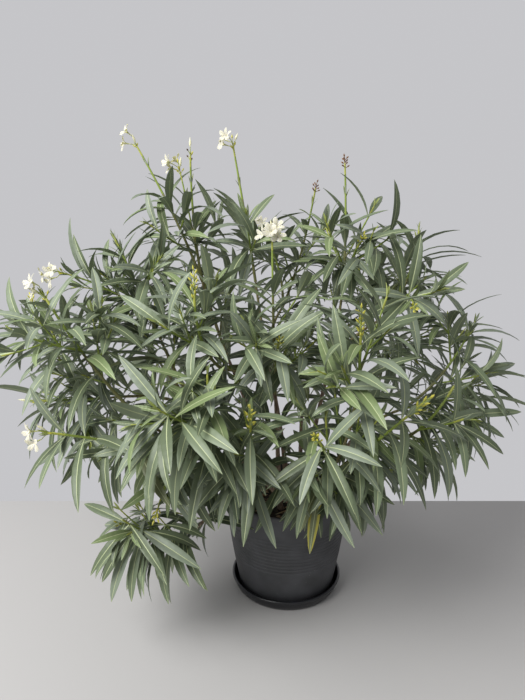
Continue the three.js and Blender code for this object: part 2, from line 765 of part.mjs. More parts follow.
place(
  "pot",
  turned([
    [0, potBase],
    [POT_FOOT_RADIUS, potBase],
    [POT_LOW_RADIUS - POT_CORNER, potBase + POT_CORNER],
    ...wallRings(0).slice(0, WALL_STEPS),
    [potRadius(rimBase), rimBase],
    [POT_RIM_RADIUS, rimBase],
    [POT_RIM_RADIUS, POT_HEIGHT],
    [POT_TOP_RADIUS - POT_WALL, POT_HEIGHT],
    ...wallRings(POT_WALL).reverse(),
    [POT_FOOT_RADIUS, potBase + POT_FLOOR],
    [0, potBase + POT_FLOOR],
  ]),
  COLOURS.pot,
  PLASTIC_ROUGHNESS,
);

// The soil fills the pot to just below its rim
const soilBase = potBase + POT_FLOOR + GAP;
const soilInset = POT_WALL + 2 * GAP;
place(
  "soil",
  turned([
    [0, soilBase],
    [POT_FOOT_RADIUS - 2 * GAP, soilBase],
    ...wallRings(soilInset),
    [SOIL_CROWN_RADIUS, SOIL_TOP],
    [0, SOIL_TOP],
  ]),
  COLOURS.soil,
  SOIL_ROUGHNESS,
);

// Stems and boughs: each is cut clear of the one that it springs from and of those that sprang before it
const taken = new Map();
for (const [name, limb] of limbs) {
  const parentName = BOUGHS[name]?.from;
  const neighbours = parentName ? taken.get(parentName) : [];
  const solid = cutClear(limbSolid(limb), neighbours);
  place(name, geometryOf(solid), parentName ? COLOURS.bough : COLOURS.stem, BARK_ROUGHNESS);
  const room = limbSolid(limb, GAP);
  neighbours.push(room);
  taken.set(name, [room]);
}

// Foliage masses, cut clear in the same way
for (const mass of masses) {
  const neighbours = taken.get(mass.row.on);
  const solid = cutClear(massSolid(mass), neighbours);
  neighbours.push(limbSolid(mass.leader, GAP));
  place(mass.name, geometryOf(solid), COLOURS.leaf, LEAF_ROUGHNESS);
}

export default plant;
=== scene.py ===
# %% [markdown]
# # A potted oleander, grown in Blender
# This lesson dresses a plant that stands in a pot: an evergreen shrub with many stems, long narrow leaves in
# whorls of three and small white flowers. The solids of the plant are loaded first. They give every size and
# place, and each piece that we make stands for one or more of them. Everything is in metres, with Z up.

# %% Load the solids
import math

import bpy
import numpy as np
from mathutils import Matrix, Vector


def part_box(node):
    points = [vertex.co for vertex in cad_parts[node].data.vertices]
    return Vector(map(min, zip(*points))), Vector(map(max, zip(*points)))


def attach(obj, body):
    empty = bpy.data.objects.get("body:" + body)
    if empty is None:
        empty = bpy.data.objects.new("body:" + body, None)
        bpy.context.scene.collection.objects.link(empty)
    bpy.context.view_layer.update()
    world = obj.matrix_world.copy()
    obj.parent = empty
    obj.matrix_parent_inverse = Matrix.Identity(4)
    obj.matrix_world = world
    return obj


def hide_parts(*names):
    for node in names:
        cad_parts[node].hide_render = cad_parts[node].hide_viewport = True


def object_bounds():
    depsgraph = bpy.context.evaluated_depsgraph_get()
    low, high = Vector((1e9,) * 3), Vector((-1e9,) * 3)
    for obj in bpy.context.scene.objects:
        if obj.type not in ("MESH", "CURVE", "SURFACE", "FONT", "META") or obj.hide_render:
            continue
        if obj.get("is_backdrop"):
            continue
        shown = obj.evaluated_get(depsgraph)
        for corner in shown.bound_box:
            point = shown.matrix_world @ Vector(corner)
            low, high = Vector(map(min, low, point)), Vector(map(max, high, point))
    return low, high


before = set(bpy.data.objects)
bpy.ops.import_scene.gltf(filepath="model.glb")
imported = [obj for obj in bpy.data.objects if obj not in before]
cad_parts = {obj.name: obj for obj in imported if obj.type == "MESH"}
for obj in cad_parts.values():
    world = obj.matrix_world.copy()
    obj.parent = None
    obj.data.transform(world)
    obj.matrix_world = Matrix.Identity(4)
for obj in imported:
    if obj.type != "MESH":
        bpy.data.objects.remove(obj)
cad_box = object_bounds()
print("solids:", len(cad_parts), "box:", [tuple(round(x, 3) for x in corner) for corner in cad_box])

# %% [markdown]
# ## The camera
# The plant was seen by someone standing a step and a half away, who held the camera at chest height and
# tipped it down a little. We could turn the camera until the view looks right, but the pot tells us enough to
# work it out: how oval its rim looks gives the tilt, and how wide it looks gives the distance.

# %% Set the camera
CAMERA_PLACE = (-0.0766, -1.572, 1.11)
CAMERA_TILT_DOWN = math.radians(12.33)
CAMERA_LENS = 27.77

bpy.ops.object.camera_add(location=CAMERA_PLACE, rotation=(math.radians(90) - CAMERA_TILT_DOWN, 0, 0))
camera = bpy.context.object
camera.data.lens = CAMERA_LENS
bpy.context.scene.camera = camera
print("camera at", CAMERA_PLACE, "with a lens of", CAMERA_LENS, "mm")

# %% [markdown]
# ## Light and floor
# Leaves show their folds best in soft light from one side. One large lamp stands at the front left: a lamp
# with a wide face is chosen instead of a sun because its shadows have soft edges. The world fills the
# shadows. It is pale behind the plant, where the camera sees it, and darker on the other sides, or the
# inside of the crown would lose its depth. The floor is plain and ends behind the plant.

# %% Light the scene and lay the floor
WORLD_COLOUR = (0.56, 0.56, 0.58)
PALE_SIDE, STRENGTH_ELSEWHERE = (0.2, 0.6), 0.65
LAMP_PLACE, LAMP_AIM = (-2.3, -2.0, 3.2), (0, 0, 0.7)
LAMP_SIZE = 2.6
LAMP_POWER = 205
FLOOR_COLOUR, FLOOR_ROUGHNESS = (0.50, 0.49, 0.48), 0.8
FLOOR_SIDES = (-1.9, 1.9)
FLOOR_ENDS = (-2.2, 0.52)

bpy.context.scene.view_settings.view_transform = "Standard"
world = bpy.data.worlds.new("pale sky")
world.use_nodes = True
background = world.node_tree.nodes["Background"]
background.inputs["Color"].default_value = (*WORLD_COLOUR, 1)
towards = world.node_tree.nodes.new("ShaderNodeTexCoord")
parts = world.node_tree.nodes.new("ShaderNodeSeparateXYZ")
strength = world.node_tree.nodes.new("ShaderNodeMapRange")
strength.inputs["From Min"].default_value, strength.inputs["From Max"].default_value = PALE_SIDE
strength.inputs["To Min"].default_value = STRENGTH_ELSEWHERE
world.node_tree.links.new(towards.outputs["Generated"], parts.inputs["Vector"])
world.node_tree.links.new(parts.outputs["Y"], strength.inputs["Value"])
world.node_tree.links.new(strength.outputs["Result"], background.inputs["Strength"])
bpy.context.scene.world = world

bpy.ops.object.light_add(type="AREA", location=LAMP_PLACE)
lamp = bpy.context.object
lamp.data.size = LAMP_SIZE
lamp.data.energy = LAMP_POWER
towards_plant = Vector(LAMP_AIM) - lamp.location
lamp.rotation_euler = towards_plant.to_track_quat("-Z", "Y").to_euler()

bpy.ops.mesh.primitive_plane_add(size=1)
floor = bpy.context.object
floor.name = "floor"
floor.scale = (FLOOR_SIDES[1] - FLOOR_SIDES[0], FLOOR_ENDS[1] - FLOOR_ENDS[0], 1)
floor.location = (sum(FLOOR_SIDES) / 2, sum(FLOOR_ENDS) / 2, 0)
floor_finish = bpy.data.materials.new("floor")
floor_finish.use_nodes = True
floor_shader = floor_finish.node_tree.nodes["Principled BSDF"]
floor_shader.inputs["Base Color"].default_value = (*FLOOR_COLOUR, 1)
floor_shader.inputs["Roughness"].default_value = FLOOR_ROUGHNESS
floor.data.materials.append(floor_finish)
floor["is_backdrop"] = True
print("floor from", FLOOR_ENDS[0], "to", FLOOR_ENDS[1])

# %% [markdown]
# ## How a finish is made
# Each surface gets a material of nodes. Its colours could be set by hand in Blender's colour picker. In a
# script they are given as they look on a screen, and turned into the shader's own scale by a formula.

# %% Colours
SCREEN_KNEE, SCREEN_SLOPE, SCREEN_OFFSET, SCREEN_POWER = 0.04045, 12.92, 0.055, 2.4


def linear_part(part):
    if part <= SCREEN_KNEE:
        return part / SCREEN_SLOPE
    return ((part + SCREEN_OFFSET) / (1 + SCREEN_OFFSET)) ** SCREEN_POWER


def linear(colour):
    """A screen colour such as 0x7c9468 as the shader's four numbers."""
    return (*[linear_part((colour >> shift & 255) / 255) for shift in (16, 8, 0)], 1)


print("half way to white on the screen is", round(linear(0x808080)[0], 3), "on the shader's scale")

# %% [markdown]
# One helper makes the shader and two more add what a surface may need: a grain, which is noise that raises
# and lowers it a little, and mottling, which is noise that runs between two colours. Image textures would do
# too, but noise has no seams and no resolution.

# %% Helpers for finishes
def new_finish(name, colour, roughness):
    """A material with its shader's colour and roughness set."""
    finish = bpy.data.materials.new(name)
    finish.use_nodes = True
    shader = finish.node_tree.nodes["Principled BSDF"]
    shader.inputs["Base Color"].default_value = linear(colour)
    shader.inputs["Roughness"].default_value = roughness
    return finish


def noise_on(finish, size, stretch=(1, 1, 1)):
    """Noise with lumps of about that size in metres."""
    nodes, links = finish.node_tree.nodes, finish.node_tree.links
    place = nodes.new("ShaderNodeTexCoord")
    mapping = nodes.new("ShaderNodeMapping")
    mapping.inputs["Scale"].default_value = stretch
    noise = nodes.new("ShaderNodeTexNoise")
    noise.inputs["Scale"].default_value = 1 / size
    links.new(place.outputs["Object"], mapping.inputs["Vector"])
    links.new(mapping.outputs["Vector"], noise.inputs["Vector"])
    return noise.outputs["Fac"]


def add_grain(finish, height, depth):
    """Raises the surface by height, a node's output, times depth in metres."""
    nodes, links = finish.node_tree.nodes, finish.node_tree.links
    bump = nodes.new("ShaderNodeBump")
    bump.inputs["Distance"].default_value = depth
    links.new(height, bump.inputs["Height"])
    links.new(bump.outputs["Normal"], nodes["Principled BSDF"].inputs["Normal"])


def add_noise_grain(finish, size, depth):
    add_grain(finish, noise_on(finish, size), depth)


def add_mottling(finish, share, colours, limits):
    """Runs between two colours, where share, a node's output, lies between the limits."""
    nodes, links = finish.node_tree.nodes, finish.node_tree.links
    ramp = nodes.new("ShaderNodeValToRGB")
    for stop, colour, limit in zip(ramp.color_ramp.elements, colours, limits):
        stop.color = linear(colour)
        stop.position = limit
    links.new(share, ramp.inputs["Fac"])
    links.new(ramp.outputs["Color"], nodes["Principled BSDF"].inputs["Base Color"])


print("what a finish may get:", [helper.__name__ for helper in (add_grain, add_noise_grain, add_mottling)])

# %% [markdown]
# ## Round pieces: saucer, pot and soil
# All three were turned or moulded round an axis. A lathe would spin an outline, but here each is drawn as by
# hand: we start with a flat disc, extrude its face from ring to ring and scale it, up the outside, over the
# rim and down the inside. The face that travels along ends as the inner floor, so the piece comes out closed.

# %% Helpers for modelling
ROUND_SIDES = 120
SMOOTH_BELOW = math.radians(40)


def deselect_all():
    bpy.ops.object.select_all(action="DESELECT")


def face_outwards():
    """Turns the selected faces outwards and leaves edit mode."""
    bpy.ops.mesh.normals_make_consistent(inside=False)
    bpy.ops.object.mode_set(mode="OBJECT")


def turned_piece(profile):
    """Draws a round piece along a profile of (radius, height) from the middle of its underside."""
    deselect_all()
    radius, height = profile[0]
    bpy.ops.mesh.primitive_circle_add(
        vertices=ROUND_SIDES, radius=radius, fill_type="NGON", location=(0, 0, height)
    )
    bpy.ops.object.mode_set(mode="EDIT")
    for next_radius, next_height in profile[1:]:
        rise = (0, 0, next_height - height)
        bpy.ops.mesh.extrude_region_move(TRANSFORM_OT_translate={"value": rise})
        growth = next_radius / radius
        bpy.ops.transform.resize(value=(growth, growth, 1), center_override=(0, 0, next_height))
        radius, height = next_radius, next_height
    bpy.ops.mesh.select_all(action="SELECT")
    face_outwards()
    return bpy.context.object


def finish_piece(piece, name, nodes):
    """Names a piece, puts its place into its mesh, hides the solids that it stands for and says how many they
    are.
    """
    deselect_all()
    piece.select_set(True)
    bpy.context.view_layer.objects.active = piece
    bpy.ops.object.transform_apply(location=True, rotation=True, scale=True)
    bpy.ops.object.shade_smooth_by_angle(angle=SMOOTH_BELOW)
    piece.name = name
    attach(piece, "root")
    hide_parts(*nodes)
    print(name, "has", len(piece.data.polygons), "faces and stands for", len(nodes), "solids")


# %% [markdown]
# The pot is a dark, matt plastic, and the saucer a darker one with a satin gloss. Neither is an even black:
# dust dulls them in patches, and rain leaves pale specks on the pot. Slow noise gives the patches, and finer
# noise, of which only the highest peaks count, gives the specks. A fine grain breaks up the gloss.

# %% The dark plastic
PLASTIC_GRAIN = (0.0025, 0.00025)
DUST_PATCH, DUST_LIMITS = 0.07, (0.42, 0.68)
SPECK_COLOUR, SPECK_SIZE, SPECK_LIMITS = 0x6A6A68, 0.009, (0.72, 0.76)
POT_COLOURS, POT_ROUGHNESS = (0x3A3B3D, 0x46474A), 0.55
SAUCER_COLOURS, SAUCER_ROUGHNESS = (0x141519, 0x1E1F23), 0.28


def dark_plastic(name, colours, roughness):
    finish = new_finish(name, colours[0], roughness)
    add_mottling(finish, noise_on(finish, DUST_PATCH), colours, DUST_LIMITS)
    add_noise_grain(finish, *PLASTIC_GRAIN)
    return finish


def add_specks(finish, colour, size, limits):
    """Lays a colour over the one that the surface has, where noise lies above the limits."""
    nodes, links = finish.node_tree.nodes, finish.node_tree.links
    shade = nodes["Principled BSDF"].inputs["Base Color"]
    specks, mix = nodes.new("ShaderNodeMapRange"), nodes.new("ShaderNodeMixRGB")
    specks.inputs["From Min"].default_value, specks.inputs["From Max"].default_value = limits
    mix.inputs["Color2"].default_value = linear(colour)
    links.new(noise_on(finish, size), specks.inputs["Value"])
    links.new(specks.outputs["Result"], mix.inputs["Fac"])
    links.new(shade.links[0].from_socket, mix.inputs["Color1"])
    links.new(mix.outputs["Color"], shade)


pot_plastic = dark_plastic("pot plastic", POT_COLOURS, POT_ROUGHNESS)
saucer_plastic = dark_plastic("saucer plastic", SAUCER_COLOURS, SAUCER_ROUGHNESS)
add_specks(pot_plastic, SPECK_COLOUR, SPECK_SIZE, SPECK_LIMITS)
print("the pot's plastic has", len(pot_plastic.node_tree.nodes), "nodes")

# %% [markdown]
# The saucer has a flat foot, a wall that leans out and a rounded bead for a rim, which catches a line of
# light and shades the wall below it. Its radius and height come from its solid, so only the foot, the slope
# of the wall and the bead are set here. The bead is an arc from under its outside over the top to the inside.

# %% Saucer
low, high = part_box("saucer")
SAUCER_RIM = high.x
SAUCER_TOP = high.z
SAUCER_FOOT = 0.155
SAUCER_WALL = 0.003
SAUCER_TURN = (0.165, SAUCER_TOP / 3)
SAUCER_FOOT_CURVE = [(-0.003, 0), (0, 0.001), (0.003, 0.003)]
SAUCER_CORNER = 0.0045
BEAD_RADIUS = 0.0046
BEAD_ANGLES = np.radians(np.linspace(-85, 215, 13))


def bead_point(angle):
    reach = BEAD_RADIUS * (math.cos(angle) - 1)
    return SAUCER_RIM + reach, SAUCER_TOP + BEAD_RADIUS * (math.sin(angle) - 1)


foot = [(SAUCER_FOOT + out, up) for out, up in SAUCER_FOOT_CURVE] + [SAUCER_TURN]
bead = [bead_point(angle) for angle in BEAD_ANGLES]
inner_wall = [(SAUCER_TURN[0] - SAUCER_WALL, SAUCER_TURN[1]), (SAUCER_FOOT, SAUCER_CORNER)]
saucer = turned_piece(foot + bead + inner_wall + [(SAUCER_FOOT - SAUCER_WALL, SAUCER_WALL)])
saucer.data.materials.append(saucer_plastic)
finish_piece(saucer, "saucer-turned", ["saucer"])

# %% [markdown]
# The pot's wall leans out from the foot and grows steeper towards the rim, like a quarter of a wave. It could
# be shaped by moving rings by hand, but a formula gives an even curve. One function works out the wall's
# radius from the height, for the outside, the inside and the soil.

# %% The pot's wall
low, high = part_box("pot")
POT_BASE, POT_TOP = low.z, high.z
POT_RIM = high.x
POT_LIP = 0.003
POT_WALL = 0.004
POT_FOOT = 0.139
POT_LOW = (0.150, 0.016)
POT_HIGH = (POT_RIM - POT_LIP, POT_TOP)


def pot_radius(height):
    share = (height - POT_LOW[1]) / (POT_HIGH[1] - POT_LOW[1])
    return POT_LOW[0] + math.sin(share * math.pi / 2) * (POT_HIGH[0] - POT_LOW[0])


def wall_rings(inset, lowest, highest, steps):
    """Rings of the wall between two heights, moved in by the inset."""
    return [(pot_radius(height) - inset, height) for height in np.linspace(lowest, highest, steps + 1)]


print("radius of the wall:", [round(pot_radius(height), 3) for height in (POT_LOW[1], POT_TOP)], "m")

# %% [markdown]
# The rim is a low band that stands out a little and is rounded over the top. Round the middle of the wall run
# ten fine grooves. They could be painted or bumped, but from close up only real grooves catch the light, so a
# loop adds four rings to the profile for each.

# %% Pot
POT_RIM_HEIGHT = 0.014
POT_FOOT_CURVE = [(-0.006, 0), (0, 0.0006), (0.006, 0.003), (0.0095, 0.0075)]
RIM_UNDER = [(-0.0006, 0.0006), (0, 0.0018)]
RIM_OVER = [(0, -0.0016), (-0.0006, -0.0004), (-0.0018, 0)]
RIM_INSIDE = [(0.0016, 0), (0.0004, -0.0006)]
WALL_START, POT_FLOOR = 0.002, 0.005
OUTER_STEPS, INNER_STEPS = 5, 8
GROOVES = 10
GROOVE_LOWEST = 0.134
GROOVE_STEP = 0.0118
GROOVE_WIDTH = 0.0042
GROOVE_FLOOR = GROOVE_WIDTH / 5
GROOVE_DEPTH = 0.0009


def groove(middle):
    """The rings of one groove, from below it to above it."""
    half = GROOVE_WIDTH / 2
    rings = [(-half, 0), (-GROOVE_FLOOR, GROOVE_DEPTH), (GROOVE_FLOOR, GROOVE_DEPTH), (half, 0)]
    return [(pot_radius(middle + rise) - depth, middle + rise) for rise, depth in rings]


rim_base = POT_TOP - POT_RIM_HEIGHT
outside = [(POT_FOOT + out, POT_BASE + up) for out, up in POT_FOOT_CURVE]
outside += wall_rings(0, POT_LOW[1], GROOVE_LOWEST - GROOVE_STEP, OUTER_STEPS)
for number in range(GROOVES):
    outside += groove(GROOVE_LOWEST + number * GROOVE_STEP)
rim = [(pot_radius(rim_base), rim_base)]
rim += [(POT_RIM + out, rim_base + up) for out, up in RIM_UNDER]
rim += [(POT_RIM + out, POT_TOP + up) for out, up in RIM_OVER]
rim += [(POT_RIM - POT_LIP - POT_WALL + out, POT_TOP + up) for out, up in RIM_INSIDE]
inside = wall_rings(POT_WALL, POT_TOP - WALL_START, POT_LOW[1], INNER_STEPS)
pot = turned_piece(outside + rim + inside + [(POT_FOOT, POT_BASE + POT_FLOOR)])
pot.data.materials.append(pot_plastic)
finish_piece(pot, "pot-turned", ["pot"])

# %% [markdown]
# The soil is a turned piece with many rings on top, which two Displace modifiers make uneven: slow clouds for
# the humps and fast ones for the crumbs. A vertex group keeps them to the top, because the side has to stay
# inside the pot's wall.

# %% Soil
low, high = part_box("soil")
SOIL_BASE, SOIL_TOP = low.z, high.z
SOIL_GAP, EDGE_DROP = 0.0008, 0.005
SOIL_EDGE = (pot_radius(SOIL_TOP - EDGE_DROP) - POT_WALL - SOIL_GAP, SOIL_TOP - EDGE_DROP)
SOIL_CROWN, SOIL_FOOT = 0.140, POT_FOOT - 0.001
SOIL_RING = 0.004
HUMPS = [("humps", 0.03, 0.007), ("crumbs", 0.007, 0.004)]
SOIL_STEPS = 6
SOIL_COLOURS, SOIL_CRUMB, SOIL_LIMITS = (0x15100C, 0x382B20), 0.006, (0.35, 0.7)
SOIL_ROUGHNESS, SOIL_GRAIN = 0.95, (0.0015, 0.002)

soil_finish = new_finish("soil", SOIL_COLOURS[1], SOIL_ROUGHNESS)
add_mottling(soil_finish, noise_on(soil_finish, SOIL_CRUMB), SOIL_COLOURS, SOIL_LIMITS)
add_noise_grain(soil_finish, *SOIL_GRAIN)


def displace(piece, name, lump, height, group=""):
    """Raises and lowers a mesh by clouds with lumps of that size, and applies it."""
    clouds = bpy.data.textures.new(name, "CLOUDS")
    clouds.noise_scale = lump
    modifier = piece.modifiers.new(name, "DISPLACE")
    modifier.texture = clouds
    modifier.strength = height
    modifier.vertex_group = group
    bpy.ops.object.modifier_apply(modifier=name)


def soil_height(radius):
    share = (radius - SOIL_CROWN) / (SOIL_EDGE[0] - SOIL_CROWN)
    return SOIL_TOP - max(share, 0) * (SOIL_TOP - SOIL_EDGE[1])


side = wall_rings(POT_WALL + SOIL_GAP, POT_LOW[1], SOIL_EDGE[1], SOIL_STEPS)
radii = np.arange(SOIL_EDGE[0] - SOIL_RING, SOIL_RING / 2, -SOIL_RING)
top = [(radius, soil_height(radius)) for radius in radii]
soil = turned_piece([(SOIL_FOOT, SOIL_BASE)] + side + top)
surface = soil.vertex_groups.new(name="surface")
heights = [vertex.co.z + soil.location.z for vertex in soil.data.vertices]
kept_back = SOIL_EDGE[0] - SOIL_RING / 2
loose = [
    vertex.index for vertex, height in zip(soil.data.vertices, heights)
    if height > SOIL_EDGE[1] and vertex.co.xy.length < kept_back
]
surface.add(loose, 1, "REPLACE")
for name, lump, height in HUMPS:
    displace(soil, name, lump, height, "surface")
soil.data.materials.append(soil_finish)
finish_piece(soil, "soil-filling", ["soil"])

# %% [markdown]
# ## Draws that every leaf keeps
# A crown is irregular, but it has to come out the same each time. Instead of a random generator that runs
# along, each shoot and leaf works out its own number from where it sits on the plant. Adding a leaf then
# changes no other leaf. The last of the whole numbers that a draw is given only tells it from other draws.

# %% Seeded draws
SEED = 7043
KEY_STEP = 0x9E3779B9
KEY_FACTOR = 0x85EBCA6B
LAST_FACTOR = 0xC2B2AE35
FIRST_SHIFT, LAST_SHIFT = 13, 16
WORD = 2**32


def draw(*keys):
    """A number from 0 to 1 that depends only on the whole numbers given."""
    mix = SEED
    for key in keys:
        mix = (mix ^ (key + KEY_STEP)) * KEY_FACTOR % WORD
        mix ^= mix >> FIRST_SHIFT
    mix = mix * LAST_FACTOR % WORD
    return (mix ^ mix >> LAST_SHIFT) / WORD


def draw_about(reach, *keys):
    """The same draw, spread evenly from -reach to +reach."""
    return (draw(*keys) * 2 - 1) * reach


print("the first draws:", [round(draw(key), 3) for key in range(5)])

# %% [markdown]
# ## The plan of the plant
# An oleander has no trunk. A clump of stems leaves the soil, nearly all of them fork once into boughs, and
# from the tips grow this year's shoots. Three tables say where the stems stand and where the tips lie, in
# millimetres, and all the rest is worked out from them. The tips were placed one by one, and the ones behind
# by giving the plant the same fullness there.

# %% Plan of the stems and boughs
MM = 0.001

# Foot, tip, thickness at both ends, and how steeply it leaves the soil
STEMS = {
    "stem-left-front": ((-80, -60), (-215, -165, 480), (19, 12), 0.45),
    "stem-foot-left": ((-108, -28), (-262, -205, 300), (14, 9), 0.52),
    "stem-left": ((-100, 18), (-265, -30, 590), (21, 13), 0.45),
    "stem-left-back": ((-55, 62), (-185, 85, 720), (21, 12), 0.45),
    "stem-middle-back": ((4, 62), (-60, 85, 720), (19, 12), 0.45),
    "stem-middle": ((-25, 2), (-40, -95, 660), (19, 11), 0.45),
    "stem-front": ((-22, -88), (-75, -235, 455), (17, 10), 0.45),
    "stem-right-front": ((50, -78), (95, -235, 470), (18, 11), 0.45),
    "stem-right": ((98, -22), (215, -50, 530), (20, 12), 0.45),
    "stem-right-back": ((58, 22), (130, 40, 710), (21, 12), 0.45),
    "stem-back": ((48, 98), (60, 210, 560), (19, 12), 0.45),
}

# The stem that it springs from, its tip, and its thickness there
BOUGHS = {
    "bough-left-front": ("stem-left-front", (-395, -285, 665), 8.5),
    "bough-left-high": ("stem-left", (-375, -15, 800), 9),
    "bough-far-left": ("stem-left", (-520, -70, 640), 8.5),
    "bough-left-back": ("stem-left", (-400, 165, 660), 8.5),
    "bough-top-left": ("stem-left-back", (-262, 98, 960), 9),
    "bough-top-middle": ("stem-middle-back", (-98, 92, 960), 8.5),
    "bough-back": ("stem-middle-back", (-10, 240, 860), 9),
    "bough-front-high": ("stem-middle", (-180, -210, 760), 8),
    "bough-front-left": ("stem-front", (-175, -335, 570), 8),
    "bough-front-right": ("stem-right-front", (140, -325, 650), 8),
    "bough-right": ("stem-right", (345, -45, 600), 9),
    "bough-right-front": ("stem-right", (290, -185, 560), 8),
    "bough-top-right": ("stem-right-back", (168, 75, 940), 9),
    "bough-right-high": ("stem-right-back", (275, 0, 860), 8.5),
    "bough-back-right": ("stem-back", (215, 250, 760), 9),
}
print(len(STEMS), "stems and", len(BOUGHS), "boughs")

# %% [markdown]
# The third table has a row for each mass of leaves, which is what one leading shoot carries. Shoots could be
# scattered by a rule alone, but then the crown would get another outline and other gaps. So the tips that
# show are given, and only what fills the room between them is left to the rule.

# %% Plan of the leaves
# The part of the crown, the limb that it grows on from, the tips of its shoots with the leading one first,
# the turn of its whorls, and where they differ from none: how far those shoots are bare, how much the leaves
# hang and the flower heads that the shoots carry
MASSES = {
    "left-front": ("left", "bough-left-front", [(-590, -300, 960)], 20, {"heads": ["single"]}),
    "left-low": (
        "left", "stem-left-front", [(-573, -380, 651), (-340, -330, 430)], 200,
        {"hang": 0.5, "heads": ["single", "buds"]},
    ),
    "foot-left": ("left", "stem-foot-left", [(-431, -300, 364)], 30, {"hang": 0.8, "heads": ["buds"]}),
    "left-high": (
        "left", "bough-left-high", [(-502, 0, 1102), (-624, -100, 1004), (-350, -85, 1045)], 10,
        {"bare": 40, "heads": ["tuft", "blossom", "tuft"]},
    ),
    "far-left": ("left", "bough-far-left", [(-725, -50, 905)], 40, {"heads": ["buds"]}),
    "far-left-low": (
        "left", "bough-far-left", [(-719, -100, 640), (-560, -150, 510)], 0,
        {"hang": 0.5, "heads": ["budding"]},
    ),
    "left-back": ("left", "bough-left-back", [(-550, 250, 870), (-450, 290, 640)], 50, {}),
    "top-far-left": ("top", "bough-top-left", [(-450, 120, 1360)], 15, {"bare": 150, "heads": ["single"]}),
    "top-left": (
        "top", "bough-top-left", [(-286, 80, 1330), (-322, 104, 1290)], 45,
        {"bare": 180, "heads": ["budding", "blossom"]},
    ),
    "back-left": ("back", "stem-left-back", [(-310, 290, 1090), (-170, 310, 930)], 0, {}),
    "top-middle": ("top", "bough-top-middle", [(-164, 120, 1360)], 30, {"bare": 265, "heads": ["blossom"]}),
    "back-middle": ("back", "bough-back", [(-70, 320, 1120)], 25, {"bare": 60, "heads": ["single"]}),
    "back-top": ("top", "bough-back", [(96, 250, 1250)], 5, {"bare": 120, "heads": ["seed"]}),
    "middle": ("top", "stem-middle", [(-51, -100, 1095)], 50, {"bare": 120, "heads": ["full"]}),
    "front-top": ("front", "bough-front-high", [(-244, -250, 965)], 0, {"heads": ["raceme"]}),
    "front-middle": ("front", "stem-middle", [(-38, -300, 850)], 15, {"heads": ["buds"]}),
    "front": (
        "front", "stem-front", [(-104, -425, 690), (-165, -335, 525)], 30, {"hang": 0.4, "heads": ["raceme"]},
    ),
    "front-left": ("front", "bough-front-left", [(-238, -425, 738)], 10, {"hang": 0.3}),
    "front-right": (
        "front", "stem-right-front", [(46, -450, 661), (20, -370, 525)], 0, {"hang": 0.4, "heads": ["buds"]},
    ),
    "right-front": (
        "front", "stem-right-front", [(262, -415, 715), (225, -330, 535)], 0,
        {"hang": 0.4, "heads": ["raceme"]},
    ),
    "front-right-high": ("front", "bough-front-right", [(142, -390, 895)], 20, {"heads": ["raceme"]}),
    "right": ("right", "bough-right", [(530, -50, 862)], 0, {"heads": ["tuft"]}),
    "far-right": ("right", "bough-right", [(615, 20, 610)], 25, {"hang": 0.5, "heads": ["tuft"]}),
    "right-low": ("right", "bough-right-front", [(412, -250, 730), (400, -190, 520)], 40, {"hang": 0.4}),
    "top-right": ("top", "bough-top-right", [(166, 100, 1310)], 10, {"bare": 210, "heads": ["seed"]}),
    "middle-right": ("right", "bough-top-right", [(196, -50, 1085)], 30, {"bare": 40, "heads": ["buds"]}),
    "right-high": (
        "right", "bough-right-high", [(382, 50, 1125), (310, -200, 925)], 0,
        {"bare": 50, "heads": ["tuft", "buds"]},
    ),
    "back-right": ("back", "bough-back-right", [(320, 320, 985)], 35, {}),
    "back-right-low": ("back", "bough-back-right", [(480, 260, 650)], 0, {"hang": 0.3}),
    "back-low": ("back", "stem-back", [(10, 360, 780)], 30, {"hang": 0.3}),
}
PARTS = ("left", "top", "back", "front", "right")
PART_OF = [row[0] for row in MASSES.values()]
print(len(MASSES), "masses of leaves in", len(PARTS), "parts of the crown")

# %% [markdown]
# ## Directions and paths
# Side shoots, leaves and petals all stand round a heading and lean away from it. Two directions square to
# the heading are all that this takes: mixed by a cosine and a sine they point to any side of it. Empties with
# a rotation would do the same, but numbers are quicker for thousands of leaves.

# %% Directions
UP = np.array([0.0, 0.0, 1.0])
ALONG_X, MOSTLY_ALONG_X = 0.9, 0.7


def unit(vectors):
    return vectors / np.linalg.norm(vectors, axis=-1, keepdims=True)


def square_to(direction, reference):
    """Two directions square to a heading, the first as near as it can be to the reference."""
    right = unit(reference - direction * np.dot(reference, direction))
    return right, np.cross(direction, right)


def beside(sides, turn):
    """The direction that lies at a turn about a heading, from two directions square to it."""
    return sides[0] * math.cos(turn) + sides[1] * math.sin(turn)


def leaning(heading, sides, turn, opened):
    """The direction that leans away from a heading by an angle, at a turn about it."""
    return heading * math.cos(opened) + beside(sides, turn) * math.sin(opened)


def reference_for(heading, limit):
    """A direction that a heading doesn't lie along: X, or Y for a heading that is near X."""
    return np.array([0.0, 1.0, 0.0] if abs(heading[0]) > limit else [1.0, 0.0, 0.0])


print("square to up:", [side.round(3).tolist() for side in square_to(UP, reference_for(UP, ALONG_X))])

# %% [markdown]
# A limb leaves its parent along the parent's heading and bends towards its own tip. A curve with one bend
# point does that. Its points are spaced evenly along it, and each has the heading there.

# %% Paths
LIMB_BEND = 0.45
PARENT_PULL = 0.55
CURVE_SAMPLES = 200


